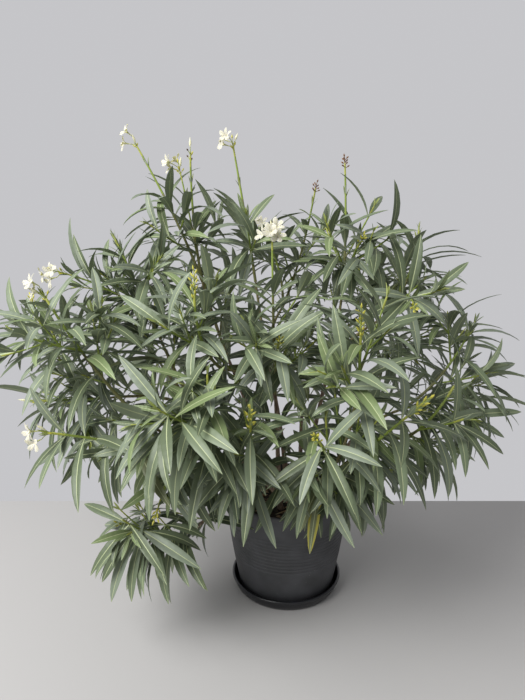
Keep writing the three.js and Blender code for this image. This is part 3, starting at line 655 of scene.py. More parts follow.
def path_between(start, heading, tip, steps):
    """A curve from a start to a tip: its points, the heading at each, and how long it is."""
    chord = tip - start
    bend = start + LIMB_BEND * np.linalg.norm(chord) * heading
    share = np.linspace(0, 1, CURVE_SAMPLES + 1)[:, None]
    line = (1 - share) ** 2 * start + 2 * share * (1 - share) * bend + share**2 * tip
    gone = np.concatenate([[0], np.cumsum(np.linalg.norm(np.diff(line, axis=0), axis=1))])
    even = np.interp(np.linspace(0, gone[-1], steps + 1), gone, share[:, 0])[:, None]
    points = (1 - even) ** 2 * start + 2 * even * (1 - even) * bend + even**2 * tip
    headings = unit((1 - even) * (bend - start) + even * (tip - bend))
    reference = reference_for(unit(chord), ALONG_X)
    return {"points": points, "headings": headings, "reference": reference, "length": gone[-1]}


def below_tip(path, depth):
    """The point of a path at a distance below its tip, with the heading there."""
    steps = len(path["points"]) - 1
    along = min(max(1 - depth / path["length"], 0), 1) * steps
    step = min(int(along), steps - 1)
    share = along - step
    point = path["points"][step] * (1 - share) + path["points"][step + 1] * share
    heading = path["headings"][step] * (1 - share) + path["headings"][step + 1] * share
    return point, unit(heading)


example = path_between(np.zeros(3), UP, np.array([0.3, 0, 0.3]), 4)
print("a path that starts upright and ends 0.3 m up and across is", round(example["length"], 3), "m long")

# %% [markdown]
# ## Stems and boughs
# The stems are bare wood, as thick as a thumb at the soil and as a little finger where they fork. Each one
# could be sculpted, but they are all the same thing: a path with a thickness. So we draw curves, give each
# point its own radius, let Blender turn them into tubes, and make those into a mesh.

# %% Lay out the limbs
LIMB_STEPS = 20
FOOT_FLARE = 0.005
FLARE_POWER = 8
BOUGH_ROOT_SHARE = 0.92
FOOT_SUNK = 0.012


def heading_from(parent, tip):
    """The heading of a limb that springs from the tip of another."""
    outward = unit(tip - parent["points"][-1])
    return unit(outward * (1 - PARENT_PULL) + parent["headings"][-1] * PARENT_PULL)


def grow_stem(foot, tip, thick, steep):
    foot = np.array([*foot, SOIL_TOP / MM]) * MM
    tip = np.array(tip) * MM
    heading = unit(unit(tip - foot) * (1 - steep) + UP * steep)
    path = path_between(foot, heading, tip, LIMB_STEPS)
    path["headings"][0] = UP
    share = np.linspace(0, 1, LIMB_STEPS + 1)
    root_radius, tip_radius = np.array(thick) / 2 * MM
    radii = root_radius + share * (tip_radius - root_radius) + FOOT_FLARE * (1 - share) ** FLARE_POWER
    return path | {"radii": radii}


def grow_bough(stem, tip, thick):
    parent = limbs[stem]
    tip = np.array(tip) * MM
    path = path_between(parent["points"][-1], heading_from(parent, tip), tip, LIMB_STEPS)
    radii = np.linspace(parent["radii"][-1] * BOUGH_ROOT_SHARE, thick / 2 * MM, LIMB_STEPS + 1)
    return path | {"radii": radii}


limbs = {}
for name, row in STEMS.items():
    limbs[name] = grow_stem(*row)
for name, row in BOUGHS.items():
    limbs[name] = grow_bough(*row)
print("limbs of", round(sum(limb["length"] for limb in limbs.values()), 2), "m in all")

# %% [markdown]
# Where leaves have fallen, an oleander's wood keeps a ring of scars and swells a little. The swellings go
# into the radii of the curve. Two Subdivision levels round the tubes off, and Displace adds low ridges and
# the lenticels, the small warts of the bark. The foot of each stem is sunk in the soil, and it may be longer
# than its solid there because the soil hides it.

# %% Wood as a mesh
SCAR_EVERY = 4
SCAR_SWELLING = 0.07
TUBE_SIDES_STEP = 1
SAME_PLACE = 0.00001
BARK = [("ridges", 0.009, 0.0011), ("warts", 0.0028, 0.0006)]


def draw_limb(curve, limb, sunk):
    """Adds one limb to a curve object, point by point, with its swellings."""
    points, radii = limb["points"], limb["radii"].copy()
    radii[SCAR_EVERY:-1:SCAR_EVERY] *= 1 + SCAR_SWELLING
    if sunk:
        points = np.vstack([points[0] - FOOT_SUNK * UP, points])
        radii = np.concatenate([radii[:1], radii])
    spline = curve.splines.new("POLY")
    spline.points.add(len(points) - 1)
    for place, point, radius in zip(spline.points, points, radii):
        place.co = (*point, 1)
        place.radius = radius


def wooden_piece(names, sunk):
    """One mesh of several limbs, rounded off and with their bark raised."""
    deselect_all()
    bpy.ops.curve.primitive_nurbs_path_add()
    piece = bpy.context.object
    curve = piece.data
    curve.splines.clear()
    for name in names:
        draw_limb(curve, limbs[name], sunk)
    curve.dimensions = "3D"
    curve.bevel_depth = 1
    curve.bevel_resolution = TUBE_SIDES_STEP
    curve.use_fill_caps = True
    bpy.ops.object.convert(target="MESH")
    piece = bpy.context.object
    bpy.ops.object.mode_set(mode="EDIT")
    bpy.ops.mesh.select_all(action="SELECT")
    bpy.ops.mesh.remove_doubles(threshold=SAME_PLACE)
    face_outwards()
    rounded = piece.modifiers.new("rounded", "SUBSURF")
    rounded.levels = rounded.render_levels = 2
    bpy.ops.object.modifier_apply(modifier="rounded")
    for name, lump, height in BARK:
        displace(piece, name, lump, height)
    return piece


print("each limb swells at", list(range(LIMB_STEPS + 1)[SCAR_EVERY:-1:SCAR_EVERY]), "of", LIMB_STEPS, "steps")

# %% [markdown]
# Old wood is grey-brown with lighter streaks that run along it, and the boughs above are still half green.
# Noise that is stretched along Z gives the streaks, because all these limbs stand more or less upright.

# %% Bark finishes
ALONG_THE_LIMB = (1, 1, 0.2)
BARK_STREAK, BARK_LIMITS = 0.006, (0.36, 0.66)
BARK_GRAIN, BARK_ROUGHNESS = (0.0015, 0.0008), 0.85
GREY_BARK, GREEN_BARK = (0x6A574A, 0xA08C7A), (0x6C6342, 0x9A9468)


def bark(name, colours):
    finish = new_finish(name, colours[0], BARK_ROUGHNESS)
    streaks = noise_on(finish, BARK_STREAK, stretch=ALONG_THE_LIMB)
    add_mottling(finish, streaks, colours, BARK_LIMITS)
    add_noise_grain(finish, *BARK_GRAIN)
    return finish


stems = wooden_piece(STEMS, sunk=True)
stems.data.materials.append(bark("grey bark", GREY_BARK))
finish_piece(stems, "stems-bark", list(STEMS))
boughs = wooden_piece(BOUGHS, sunk=False)
boughs.data.materials.append(bark("green bark", GREEN_BARK))
finish_piece(boughs, "boughs-bark", list(BOUGHS))

# %% [markdown]
# ## Shoots
# From the tips of the limbs leading shoots grow on, one for each mass of leaves, and shorter ones branch off
# them. What is needed first is how far a point is from a limb, because every question of room asks for that.
# Blender can measure to a mesh, but each limb is known as a path too, and the distance to its straight
# pieces is quicker to work out for many points at once.

# %% Distances
TEST_STRIDE = 4


def pieces_of(line):
    """The two ends of each straight piece of a line."""
    return line[:-1], line[1:]


def all_pieces_of(lines):
    """The same for many lines, all starts in one array and all ends in another."""
    return (np.concatenate(ends) for ends in zip(*map(pieces_of, lines)))


def distances(points, starts, ends):
    """The distance from each point to each straight piece."""
    along = ends - starts
    offset = points[:, None] - starts
    share = np.clip((offset * along).sum(2) / (along**2).sum(1), 0, 1)
    return np.linalg.norm(offset - share[..., None] * along, axis=2)


limb_starts, limb_ends = all_pieces_of([limb["points"][::TEST_STRIDE] for limb in limbs.values()])
limb_radii = np.repeat([limb["radii"][1:].max() for limb in limbs.values()], LIMB_STEPS // TEST_STRIDE)
print("the limbs are measured to as", len(limb_radii), "straight pieces")

# %% [markdown]
# Where the shoots go is a rule: a shoot tries a few turns about its parent, and takes the first that keeps it
# in the room of its own mass, clear of the pot, the limbs and the shoots of other masses. The room of a mass
# is what lies nearer to its own leading shoot than to any other, with a strip that neighbours share.

# %% Room to grow in
LEADER_STEPS, SIDE_STEPS = 12, 8
SPACE_SHARED = 0.060
SPACE_EXTENSION = 0.070
LIMB_CLEARANCE = 0.0015
TWIG_CLEARANCE = 0.006
LEAF_CLEARANCE = 0.003
POT_CLEARANCE = 0.008
NAMES = list(MASSES)


def clear_of_pot(points):
    outside_it = np.hypot(points[:, 0], points[:, 1]) > POT_RIM + POT_CLEARANCE
    above_it = points[:, 2] > POT_TOP + POT_CLEARANCE
    return (points[:, 2] > POT_CLEARANCE).all() and (outside_it | above_it).all()


def grow_leader(name):
    _, limb, tips, _, _ = MASSES[name]
    parent, tip = limbs[limb], np.array(tips[0]) * MM
    return path_between(parent["points"][-1], heading_from(parent, tip), tip, LEADER_STEPS)


def spine_of(leader):
    """A leading shoot's line, with a stretch beyond its tip."""
    beyond = leader["points"][-1] + SPACE_EXTENSION * leader["headings"][-1]
    return np.vstack([leader["points"][::TEST_STRIDE], beyond])


leaders = [grow_leader(name) for name in NAMES]
spine_starts, spine_ends = all_pieces_of([spine_of(leader) for leader in leaders])


def keeps_to_space(points, mass):
    """Whether no point is nearer to another leading shoot than to its own, but for the shared strip."""
    table = distances(points, spine_starts, spine_ends).reshape(len(points), len(NAMES), -1).min(2)
    own = table[:, mass] - SPACE_SHARED
    table[:, mass] = np.inf
    return (table > own[:, None]).all()


def fits(points, widths, mass):
    """Whether points with some room round them are clear of the pot, the limbs and other masses."""
    room = limb_radii + (widths + LIMB_CLEARANCE)[:, None]
    clear = clear_of_pot(points) and (distances(points, limb_starts, limb_ends) > room).all()
    return clear and keeps_to_space(points, mass)


print("room for", len(leaders), "masses")

# %% [markdown]
# Each shoot that has found its place is kept, with the lines that later shoots and leaves stay clear of. A
# new one is tested at points along its outer part, because its root has to touch the parent.

# %% Keep the shoots
LEADER_RADIUS, SIDE_RADIUS, FINE_RADIUS = 0.0046, 0.0030, 0.0020
TIP_RADII = (0.0026, 0.0020, 0.0013, 0.0013)
SIDE_LENGTHS, FINE_LENGTHS = (0.120, 0.175), (0.060, 0.105)
SIDE_SPREAD, SPREAD_JITTER = 40, 10
SIDE_PLACES, FINE_PLACES, NAMED_PLACES = (0.34, 0.58), (0.3, 0.55), (0.15, 0.35)
FINE_SHARES = {"left": 1, "top": 0.1, "back": 0.7, "front": 0.7, "right": 0.5}
INNER_PLACES, INNER_LENGTHS = (0.6, 0.85), (0.09, 0.15)
SIDE_LIFT = 0.12
SIDE_TRIES = 6
TEST_STEP, TEST_SHARE = 0.020, 0.7
BUD_LENGTH = 0.005

shoots = [[] for _ in NAMES]
shoot_lines = {
    "starts": np.zeros((0, 3)), "ends": np.zeros((0, 3)), "radii": np.zeros(0), "mass": np.zeros(0, int),
}


def add_shoot(mass, path, radius, rank):
    """Keeps a shoot, and the lines that other shoots and leaves stay clear of."""
    shoots[mass].append(path | {"radius": radius, "rank": rank})
    starts, ends = pieces_of(path["points"][::TEST_STRIDE])
    count = len(starts)
    new = {"starts": starts, "ends": ends, "radii": np.full(count, radius), "mass": np.full(count, mass)}
    for key, values in new.items():
        shoot_lines[key] = np.concatenate([shoot_lines[key], values])


def clear_of_shoots(points, room, mass):
    others = shoot_lines["mass"] != mass
    table = distances(points, shoot_lines["starts"][others], shoot_lines["ends"][others])
    return (table > shoot_lines["radii"][others] + room).all()


def shoot_fits(path, mass):
    depths = np.arange(-BUD_LENGTH, path["length"] * TEST_SHARE, TEST_STEP)
    points = np.array([below_tip(path, depth)[0] for depth in depths])
    room = np.full(len(points), SIDE_RADIUS)
    return fits(points, room, mass) and clear_of_shoots(points, TWIG_CLEARANCE, mass)


def between(limits, share):
    return limits[0] + share * (limits[1] - limits[0])


for mass, leader in enumerate(leaders):
    add_shoot(mass, leader, LEADER_RADIUS, 0)
print("leading shoots of", [round(leader["length"], 2) for leader in leaders[:5]], "m and so on")

# %% [markdown]
# The rule is run in three rounds. First come the shoots whose tips are in the table, then one or two side
# shoots for each leading one, and last the fine twigs, which are too small for the solids and grow from the
# axils of the others and out of the boughs. A twig that finds no room is left out, as it would be in the
# shade of a real crown.

# %% Grow the shoots
def add_named_shoots(mass):
    leader = leaders[mass]
    _, _, tips, _, _ = MASSES[NAMES[mass]]
    for share, place in zip(NAMED_PLACES, tips[1:]):
        tip = np.array(place) * MM
        point, heading = below_tip(leader, leader["length"] * (1 - share))
        towards = unit(unit(tip - point) * (1 - PARENT_PULL) + heading * PARENT_PULL)
        add_shoot(mass, path_between(point, towards, tip, SIDE_STEPS), SIDE_RADIUS, 1)


def add_seeded_shoot(mass, parent, share, length, radius, rank, first_turn, keys):
    """Tries a few turns about the parent until the shoot fits."""
    point, heading = below_tip(parent, parent["length"] * (1 - share))
    sides = square_to(heading, parent["reference"])
    for attempt in range(SIDE_TRIES):
        turn = 2 * math.pi * (first_turn + attempt / SIDE_TRIES)
        spread = math.radians(SIDE_SPREAD + draw_about(SPREAD_JITTER, *keys, attempt, 3))
        outward = leaning(heading, sides, turn, spread)
        tip = point + length * (outward + SIDE_LIFT * UP)
        path = path_between(point, outward, tip, SIDE_STEPS)
        if shoot_fits(path, mass):
            return add_shoot(mass, path, radius, rank)


for mass in range(len(NAMES)):
    add_named_shoots(mass)
for mass, leader in enumerate(leaders):
    _, _, tips, _, habits = MASSES[NAMES[mass]]
    leafy = 1 - habits.get("bare", 0) * MM / leader["length"]
    for index in range(1 if len(tips) > 1 else 2):
        add_seeded_shoot(
            mass, leader, SIDE_PLACES[index] * leafy, between(SIDE_LENGTHS, draw(mass, index, 1)),
            SIDE_RADIUS, 1, draw(mass, 2) + index / 2, (mass, index),
        )
for mass in range(len(NAMES)):
    for number, parent in enumerate(list(shoots[mass])):
        for index, share in enumerate(FINE_PLACES):
            if draw(mass, number, index, 24) > FINE_SHARES[PART_OF[mass]]:
                continue
            add_seeded_shoot(
                mass, parent, share, between(FINE_LENGTHS, draw(mass, number, index, 21)),
                FINE_RADIUS, 2, draw(mass, number, index, 22), (mass, number, index, 23),
            )
for mass, (part, limb, _, _, _) in enumerate(MASSES.values()):
    for index, share in enumerate(INNER_PLACES if part != "top" else ()):
        add_seeded_shoot(
            mass, limbs[limb], share, between(INNER_LENGTHS, draw(mass, index, 26)),
            FINE_RADIUS, 3, draw(mass, index, 27), (mass, index, 28, 23),
        )
ranks = [shoot["rank"] for group in shoots for shoot in group]
kinds = ("leading", "side", "fine", "inner")
print("shoots:", {kind: ranks.count(rank) for rank, kind in enumerate(kinds)})

# %% [markdown]
# ## Where the leaves go
# Leaves stand in whorls of three, and each whorl is turned by 60 degrees against the last. Near the tip they
# are short and upright, and further down they open and begin to hang. A leaf that finds no place is folded
# up, opened, shortened or turned, as the tries below say, and left out if nothing helps.

# %% Leaf rules
WHORL_DEPTHS = np.array([10, 22, 38, 58, 82, 110, 142, 178, 218, 262, 310]) * MM
WHORL_ANGLES = [16, 38, 60, 68, 75, 82, 87, 92, 96, 98, 98]
WHORL_SIZES = [0.2, 0.42, 0.86, 0.96, 1, 1, 1, 0.98, 0.94, 0.9, 0.88]
BARE_NEAR_TIP = {0: 0.45, 1: 0.85}
WHORLS_KEPT = {
    "most": [0.8, 0.35, 1, 0.45, 0.85, 1, 0.85, 1, 0.9, 1, 0.9],
    "top": [0.8, 0.35, 1, 0.1, 0.35, 1, 0.2, 1, 0.3, 1, 0.3],
    "back": [0.8, 0.5, 1, 0.5, 0.7, 1, 0.6, 1, 0.7, 1, 0.7],
    "fine": [0.9, 0.7, 1, 0.4, 0.6, 0.5, 0, 0, 0, 0, 0],
}
WHORL_ORDER = [2, 5, 7, 9, 0, 1, 3, 4, 6, 8, 10]
LEAVES_IN_WHORL = 3
WHORL_TURN, SHOOT_TURN = 60, 37
TURN_JITTER, ANGLE_JITTER = 16, 9
BARE_SHARE = 0.85
LEAF_LENGTH, LEAF_WIDTH, LEAF_SIZE_SPREAD = 0.185, 0.0285, 0.12
LEAF_THICKNESS = 0.0024
LEAF_WIDEST, LEAF_ARCH, LEAF_SAG = 0.44, 0.07, 0.25
FINE_LEAF_SHARE = 0.8
SLENDER_YOUNG = {0: 0.48, 1: 0.66}
LIGHT = unit(np.array([0.0, -0.45, 0.9]))
LIGHT_PULL = 0.55

# What its angle and its length are multiplied by, and the turn that is added, try by try
LEAF_TRIES = [(1, 1, 0), (0.9, 0.95, 22), (0.9, 0.95, -22), (1.2, 0.9, 0), (0.65, 0.95, 0), (1, 0.72, 10)]


def corners_of(root, direction, upper, length, width, arch):
    """Root, left, right, keel and tip of a leaf."""
    side = np.cross(direction, upper)
    middle = root + length * (LEAF_WIDEST * direction + arch * upper)
    keel = middle - LEAF_THICKNESS * upper
    half = side * width / 2
    return np.array([root, middle + half, middle - half, keel, root + direction * length])


print("whorls stand", WHORL_DEPTHS[0], "to", WHORL_DEPTHS[-1], "m below the tips")

# %% [markdown]
# Two leaves may not pass through each other. They do where an edge or the keel of one meets the blade of the
# other, so for this question a leaf is six lines and two triangles. Blender's tree of faces could answer it
# too, but that has to be built again for each new leaf.

# %% Whether leaves cross
ROOT_SHARE = 0.12
PARALLEL = 1e-12


def blade_of(corners):
    """A leaf as six lines and two triangles, without the part by its root that its whorl shares."""
    root, left, right, keel, tip = corners
    neck = root + ROOT_SHARE * (keel - root)
    lines = [(neck, left), (left, tip), (tip, right), (right, neck), (neck, keel), (keel, tip)]
    return np.array(lines), np.array([(neck, left, right), (left, tip, right)])


def any_cross(lines, triangles):
    """Whether any of the lines passes through any of the triangles."""
    start, along = lines[:, None, 0], (lines[:, 1] - lines[:, 0])[:, None]
    corner = triangles[:, 0]
    edge, other = triangles[:, 1] - corner, triangles[:, 2] - corner
    across = np.cross(along, other)
    scale = (edge * across).sum(2)
    scale = np.where(abs(scale) < PARALLEL, np.inf, scale)
    offset = start - corner
    first = (offset * across).sum(2) / scale
    turned = np.cross(offset, edge)
    second = (along * turned).sum(2) / scale
    reach = (other * turned).sum(2) / scale
    return ((first >= 0) & (second >= 0) & (first + second <= 1) & (reach >= 0) & (reach <= 1)).any()


flat_leaf = corners_of(np.zeros(3), square_to(UP, LIGHT)[0], UP, LEAF_LENGTH, LEAF_WIDTH, LEAF_ARCH)
lines, triangles = blade_of(flat_leaf)
print("a leaf is tested as", len(lines), "lines and", len(triangles), "triangles")

# %% [markdown]
# The places that a leaf is tested at are spread along it: half way to its widest part, there and at both
# edges, twice on the way to its tip and at the tip. All leaves that have found a place are kept in arrays, so
# that the test against them is one calculation instead of a loop.

# %% Test a leaf
MOST_LEAVES = 6000
TESTED_BEYOND, TESTED_WIDTHS = (0.35, 0.7), (0.5, 1, 0.7, 0.35, 0, 0, 0)
placed = {"count": 0, "middle": np.zeros((MOST_LEAVES, 3)), "reach": np.zeros(MOST_LEAVES)}
placed_lines = np.zeros((MOST_LEAVES, *lines.shape))
placed_triangles = np.zeros((MOST_LEAVES, *triangles.shape))


def crosses_others(corners, own_lines):
    """Whether a leaf crosses a twig of its own mass or a kept leaf. A leaf that doesn't is kept as well."""
    lines, triangles = blade_of(corners)
    root, _, _, middle, tip = corners
    count = placed["count"]
    reach = max(np.linalg.norm(middle - tip), np.linalg.norm(middle - root)) + LEAF_CLEARANCE
    gaps = np.linalg.norm(placed["middle"][:count] - middle, axis=1)
    near = np.flatnonzero(gaps < placed["reach"][:count] + reach)
    if any_cross(lines, placed_triangles[near].reshape(-1, 3, 3)):
        return True
    if any_cross(placed_lines[near].reshape(-1, 2, 3), triangles) or any_cross(own_lines, triangles):
        return True
    placed["middle"][count], placed["reach"][count] = middle, reach
    placed_lines[count], placed_triangles[count] = lines, triangles
    placed["count"] += 1
    return False


def leaf_fits(corners, mass, own_lines):
    root, left, right, keel, tip = corners
    half = np.linalg.norm(left - right) / 2
    beyond = [keel + (tip - keel) * share for share in TESTED_BEYOND]
    points = np.array([(root + keel) / 2, keel, *beyond, tip, left, right])
    widths = half * np.array(TESTED_WIDTHS)
    if not (fits(points, widths, mass) and clear_of_shoots(points, LEAF_CLEARANCE, mass)):
        return False
    return not crosses_others(corners, own_lines)


print("there is room for", MOST_LEAVES, "leaves")

# %% [markdown]
# Each leaf that fits becomes one row: its root, the directions of its tip and of its upper side, its size
# and how far it arches. The blade is turned a little about its own length, so that its upper side faces the
# light. Only when all rows are known do we make meshes, and then thousands of leaves are worked out at once.

# %% Grow the leaves
leaves = []


def grow_leaf(mass, shoot, number, whorl, leaf, depth, own_lines):
    """Works out one leaf of a whorl, and keeps the first of its tries that fits."""
    _, _, _, mass_turn, habits = MASSES[NAMES[mass]]
    keys = (mass, number, whorl, leaf)
    point, heading = below_tip(shoot, depth)
    sides = square_to(heading, shoot["reference"])
    around = mass_turn + WHORL_TURN * whorl + 360 * leaf / LEAVES_IN_WHORL
    turn = math.radians(around + draw_about(TURN_JITTER, *keys, 4) + SHOOT_TURN * number)
    angle = math.radians(WHORL_ANGLES[whorl] + draw_about(ANGLE_JITTER, *keys, 1))
    size = WHORL_SIZES[whorl] * (1 + draw_about(LEAF_SIZE_SPREAD, *keys, 2))
    size *= FINE_LEAF_SHARE if shoot["rank"] > 1 else 1
    slender = SLENDER_YOUNG.get(whorl, 1)
    sag = (LEAF_SAG + habits.get("hang", 0)) * math.sin(angle)
    for angle_scale, length_scale, turn_change in LEAF_TRIES:
        opened = angle * angle_scale
        turned = turn + math.radians(turn_change)
        direction = unit(leaning(heading, sides, turned, opened) - sag * UP)
        pull = LIGHT_PULL * math.sin(opened) ** 2
        upper = square_to(direction, heading * (1 - pull) + LIGHT * pull)[0]
        length, width = LEAF_LENGTH * size * length_scale, LEAF_WIDTH * math.sqrt(size) * slender
        arch = LEAF_ARCH * math.sin(opened) ** 2
        corners = corners_of(point, direction, upper, length, width, arch)
        if leaf_fits(corners, mass, own_lines):
            leaves.append({
                "mass": mass, "keys": keys, "whorl": whorl, "rank": shoot["rank"], "root": point,
                "direction": direction, "upper": upper, "length": length, "width": width, "arch": arch,
            })
            return


def bare_stretch(mass, number):
    """How far the shoots of the table are bare below their tips."""
    _, _, tips, _, habits = MASSES[NAMES[mass]]
    return habits.get("bare", 0) * MM if number < len(tips) else 0


for whorl in WHORL_ORDER:
    for mass in range(len(NAMES)):
        for number, shoot in enumerate(shoots[mass]):
            kept = WHORLS_KEPT.get(PART_OF[mass] if shoot["rank"] < 2 else "fine", WHORLS_KEPT["most"])
            depth = WHORL_DEPTHS[whorl] + bare_stretch(mass, number) * BARE_NEAR_TIP.get(whorl, 1)
            if depth > shoot["length"] * BARE_SHARE or draw(mass, number, whorl, 12) > kept[whorl]:
                continue
            own = shoot_lines["mass"] != mass
            twig_lines = np.stack([shoot_lines["starts"][own], shoot_lines["ends"][own]], axis=1)
            for leaf in range(LEAVES_IN_WHORL):
                grow_leaf(mass, shoot, number, whorl, leaf, depth, twig_lines)
print("leaves:", len(leaves))

# %% [markdown]
# The shoots that grow fastest end in a tuft: a spike of narrow young leaves that stand close to the stem, the
# upper ones shorter. They follow the same turn as seeds in a cone, so that no two lie over each other.

# %% Tufts of young leaves
TUFT_LEAVES, TUFT_STEP, TUFT_TURN = 20, 0.0042, math.radians(137.5)
TUFT_LENGTHS, TUFT_WIDTHS, TUFT_ANGLES = (0.016, 0.056), (0.0030, 0.0062), (8, 30)
TUFT_JITTER, TUFT_SIZE_SPREAD, TUFT_ARCH = 7, 0.2, 0.02


def grow_tuft(mass, number):
    """Adds the spike of young leaves to the end of a shoot."""
    shoot = shoots[mass][number]
    for index in range(TUFT_LEAVES):
        share, keys = (index + 0.5) / TUFT_LEAVES, (mass, number, index, 51)
        point, heading = below_tip(shoot, index * TUFT_STEP)
        opened = math.radians(between(TUFT_ANGLES, share) + draw_about(TUFT_JITTER, *keys, 1))
        sides = square_to(heading, shoot["reference"])
        direction = leaning(heading, sides, index * TUFT_TURN, opened)
        leaves.append({
            "mass": mass, "keys": keys, "whorl": 0, "rank": 0, "root": point, "direction": direction,
            "upper": square_to(direction, heading)[0], "arch": TUFT_ARCH,
            "length": between(TUFT_LENGTHS, share) * (1 + draw_about(TUFT_SIZE_SPREAD, *keys, 2)),
            "width": between(TUFT_WIDTHS, share),
        })


for mass, (_, _, _, _, habits) in enumerate(MASSES.values()):
    for number, kind in enumerate(habits.get("heads", [])):
        if kind == "tuft":
            grow_tuft(mass, number)
print("leaves with the tufts:", len(leaves))

# %% [markdown]
# ## One leaf, many leaves
# A leaf is a closed ribbon with eight points in each cross-section: two edges, two points half way in, and
# the midrib above and below. The outline lists how wide it is at nine places, from the short stalk to the
# point. The faces between two cross-sections are the same for every leaf, so they are listed once.

# %% The faces of a leaf
OUTLINE_AT = np.array([0, 0.045, 0.14, 0.28, 0.45, 0.62, 0.78, 0.91, 1])
OUTLINE_WIDTH = np.array([0.10, 0.12, 0.42, 0.80, 1, 0.97, 0.76, 0.42, 0.03])
RING = 8
ZONES = ["margin", "blade", "rib", "blade", "margin", "under", "keel", "under"]
END_FACES = [(0, 1, 2, 7), (2, 3, 6, 7), (3, 4, 5, 6)]


def ribbon_faces(stations):
    """The faces of one ribbon, with the zone of each."""
    faces, zones = [], []
    for station in range(stations - 1):
        low, high = station * RING, (station + 1) * RING
        for corner, zone in enumerate(ZONES):
            after = (corner + 1) % RING
            faces.append((low + corner, low + after, high + after, high + corner))
            zones.append(zone)
    last = (stations - 1) * RING
    for corners in END_FACES:
        faces += [corners[::-1], tuple(last + corner for corner in corners)]
        zones += ["under", "blade"]
    return np.array(faces), zones


print("a leaf has", len(OUTLINE_AT) * RING, "points and", len(ribbon_faces(len(OUTLINE_AT))[1]), "faces")

# %% [markdown]
# The edges of a leaf turn down a little, the two halves fold up about the midrib, and the whole leaf arches,
# sways to a side and twists. Whole whorls of leaves could be copied by an array modifier, but each leaf has
# its own bend, so one formula shapes them all, as arrays that hold every leaf at once.

# %% The shape of a leaf
RIB_WIDTH = (0.052, 0.016)
HALF_WAY, HALF_WAY_POINTS = 0.55, [1, 4]
EDGE_TURNED_DOWN, HALF_RAISED = 0.10, 0.07
RIB_SHARE_AT_MOST, BESIDE_RIB, RIB_RAISED = 0.8, 1.05, 0.25
TWIST_STARTS_AT = 0.2


def columns(rows, *keys):
    """The values of some keys, each as one array over all rows."""
    return [np.array([row[key] for row in rows]) for key in keys]


def ribbons(rows, outline_at, outline_width):
    """The points of many leaves or petals: (leaf, station, ring point, xyz)."""
    root, direction, upper = columns(rows, "root", "direction", "upper")
    length, width, arch = columns(rows, "length", "width", "arch")
    fold, twist, sway = columns(rows, "fold", "twist", "sway")
    side = np.cross(direction, upper)
    bow = outline_at * (1 - outline_at) / (LEAF_WIDEST * (1 - LEAF_WIDEST))
    slope = arch[:, None] * (1 - 2 * outline_at) / (LEAF_WIDEST * (1 - LEAF_WIDEST))
    forwards = outline_at * direction[:, None].transpose(0, 2, 1)
    arched = (arch[:, None] * bow)[:, None] * upper[:, :, None]
    swayed = sway[:, None, None] * outline_at**2 * side[:, :, None]
    centre = root[:, :, None] + length[:, None, None] * (forwards + arched + swayed)
    raised = unit((upper[:, :, None] - slope[:, None] * direction[:, :, None]).transpose(0, 2, 1))
    half = width[:, None] / 2 * outline_width
    rib = np.minimum(width[:, None] * between(RIB_WIDTH, outline_at), half * RIB_SHARE_AT_MOST)
    out, rise = half * np.cos(fold)[:, None], half * np.sin(fold)[:, None]
    edge, low = rise - EDGE_TURNED_DOWN * half, HALF_WAY * rise + HALF_RAISED * half
    x = np.stack([-out, -HALF_WAY * out, -rib, rib, HALF_WAY * out, out, rib, -rib], axis=2)
    inner = x[:, :, HALF_WAY_POINTS]
    x[:, :, HALF_WAY_POINTS] = np.sign(inner) * np.maximum(abs(inner), rib[:, :, None] * BESIDE_RIB)
    raised_rib = rib * RIB_RAISED
    z = np.stack([edge, low, raised_rib, raised_rib, low, edge, -rib, -rib], axis=2)
    turn = (twist[:, None] * (outline_at - TWIST_STARTS_AT))[:, :, None]
    x, z = x * np.cos(turn) - z * np.sin(turn), x * np.sin(turn) + z * np.cos(turn)
    across = side[:, None, None] * x[..., None] + raised[:, :, None] * z[..., None]
    return centre.transpose(0, 2, 1)[:, :, None] + across


print("a leaf is widest at", OUTLINE_AT[OUTLINE_WIDTH.argmax()], "of its length")

# %% [markdown]
# Undersides are paler than the blade, and the midrib is paler still. All of these are plain colours on the
# shader, because a leaf is small and thousands of them share a mesh. An image of a leaf would bring more
# detail than shows from here. Each leaf has fine veins all the same, a bump that follows its UV map.

# %% Leaf finishes
VEIN_SCALE, VEIN_DISTORTION, VEIN_DEPTH = 3, 1.5, 0.0002
BLADES = {
    "young": 0x8F9C52,
    "fresh": 0x76865A,
    "sage": 0x6F7C60,
    "grey-sage": 0x7B8672,
    "deep": 0x5D694E,
    # painted shade: the dark colour of the leaves inside the crown, where shade falls
    "inner": 0x4B5840,
    "dull": 0x737A55,
    "yellow": 0xA7A040,
    "dry": 0x8A6A48,
}
MIDRIBS = {"pale": 0xB3BC90, "yellowish": 0xC2C276}
UNDERSIDES = {"pale": 0x879278, "yellowish": 0x9CA764, "dry": 0x9A7C5A}
PARTS_OF_LEAF = [(" leaf", BLADES, 0.46), (" midrib", MIDRIBS, 0.5), (" underside", UNDERSIDES, 0.62)]


def leaf_finish(name, colour, roughness):
    """A plain colour with veins that run across the leaf."""
    finish = new_finish(name, colour, roughness)
    nodes, links = finish.node_tree.nodes, finish.node_tree.links
    place = nodes.new("ShaderNodeTexCoord")
    veins = nodes.new("ShaderNodeTexWave")
    veins.bands_direction = "Y"
    veins.inputs["Scale"].default_value = VEIN_SCALE
    veins.inputs["Distortion"].default_value = VEIN_DISTORTION
    links.new(place.outputs["UV"], veins.inputs["Vector"])
    add_grain(finish, veins.outputs["Fac"], VEIN_DEPTH)
    return finish


leaf_finishes = [
    leaf_finish(name + part, colour, roughness)
    for part, colours, roughness in PARTS_OF_LEAF for name, colour in colours.items()
]
print("leaf finishes:", [finish.name for finish in leaf_finishes])
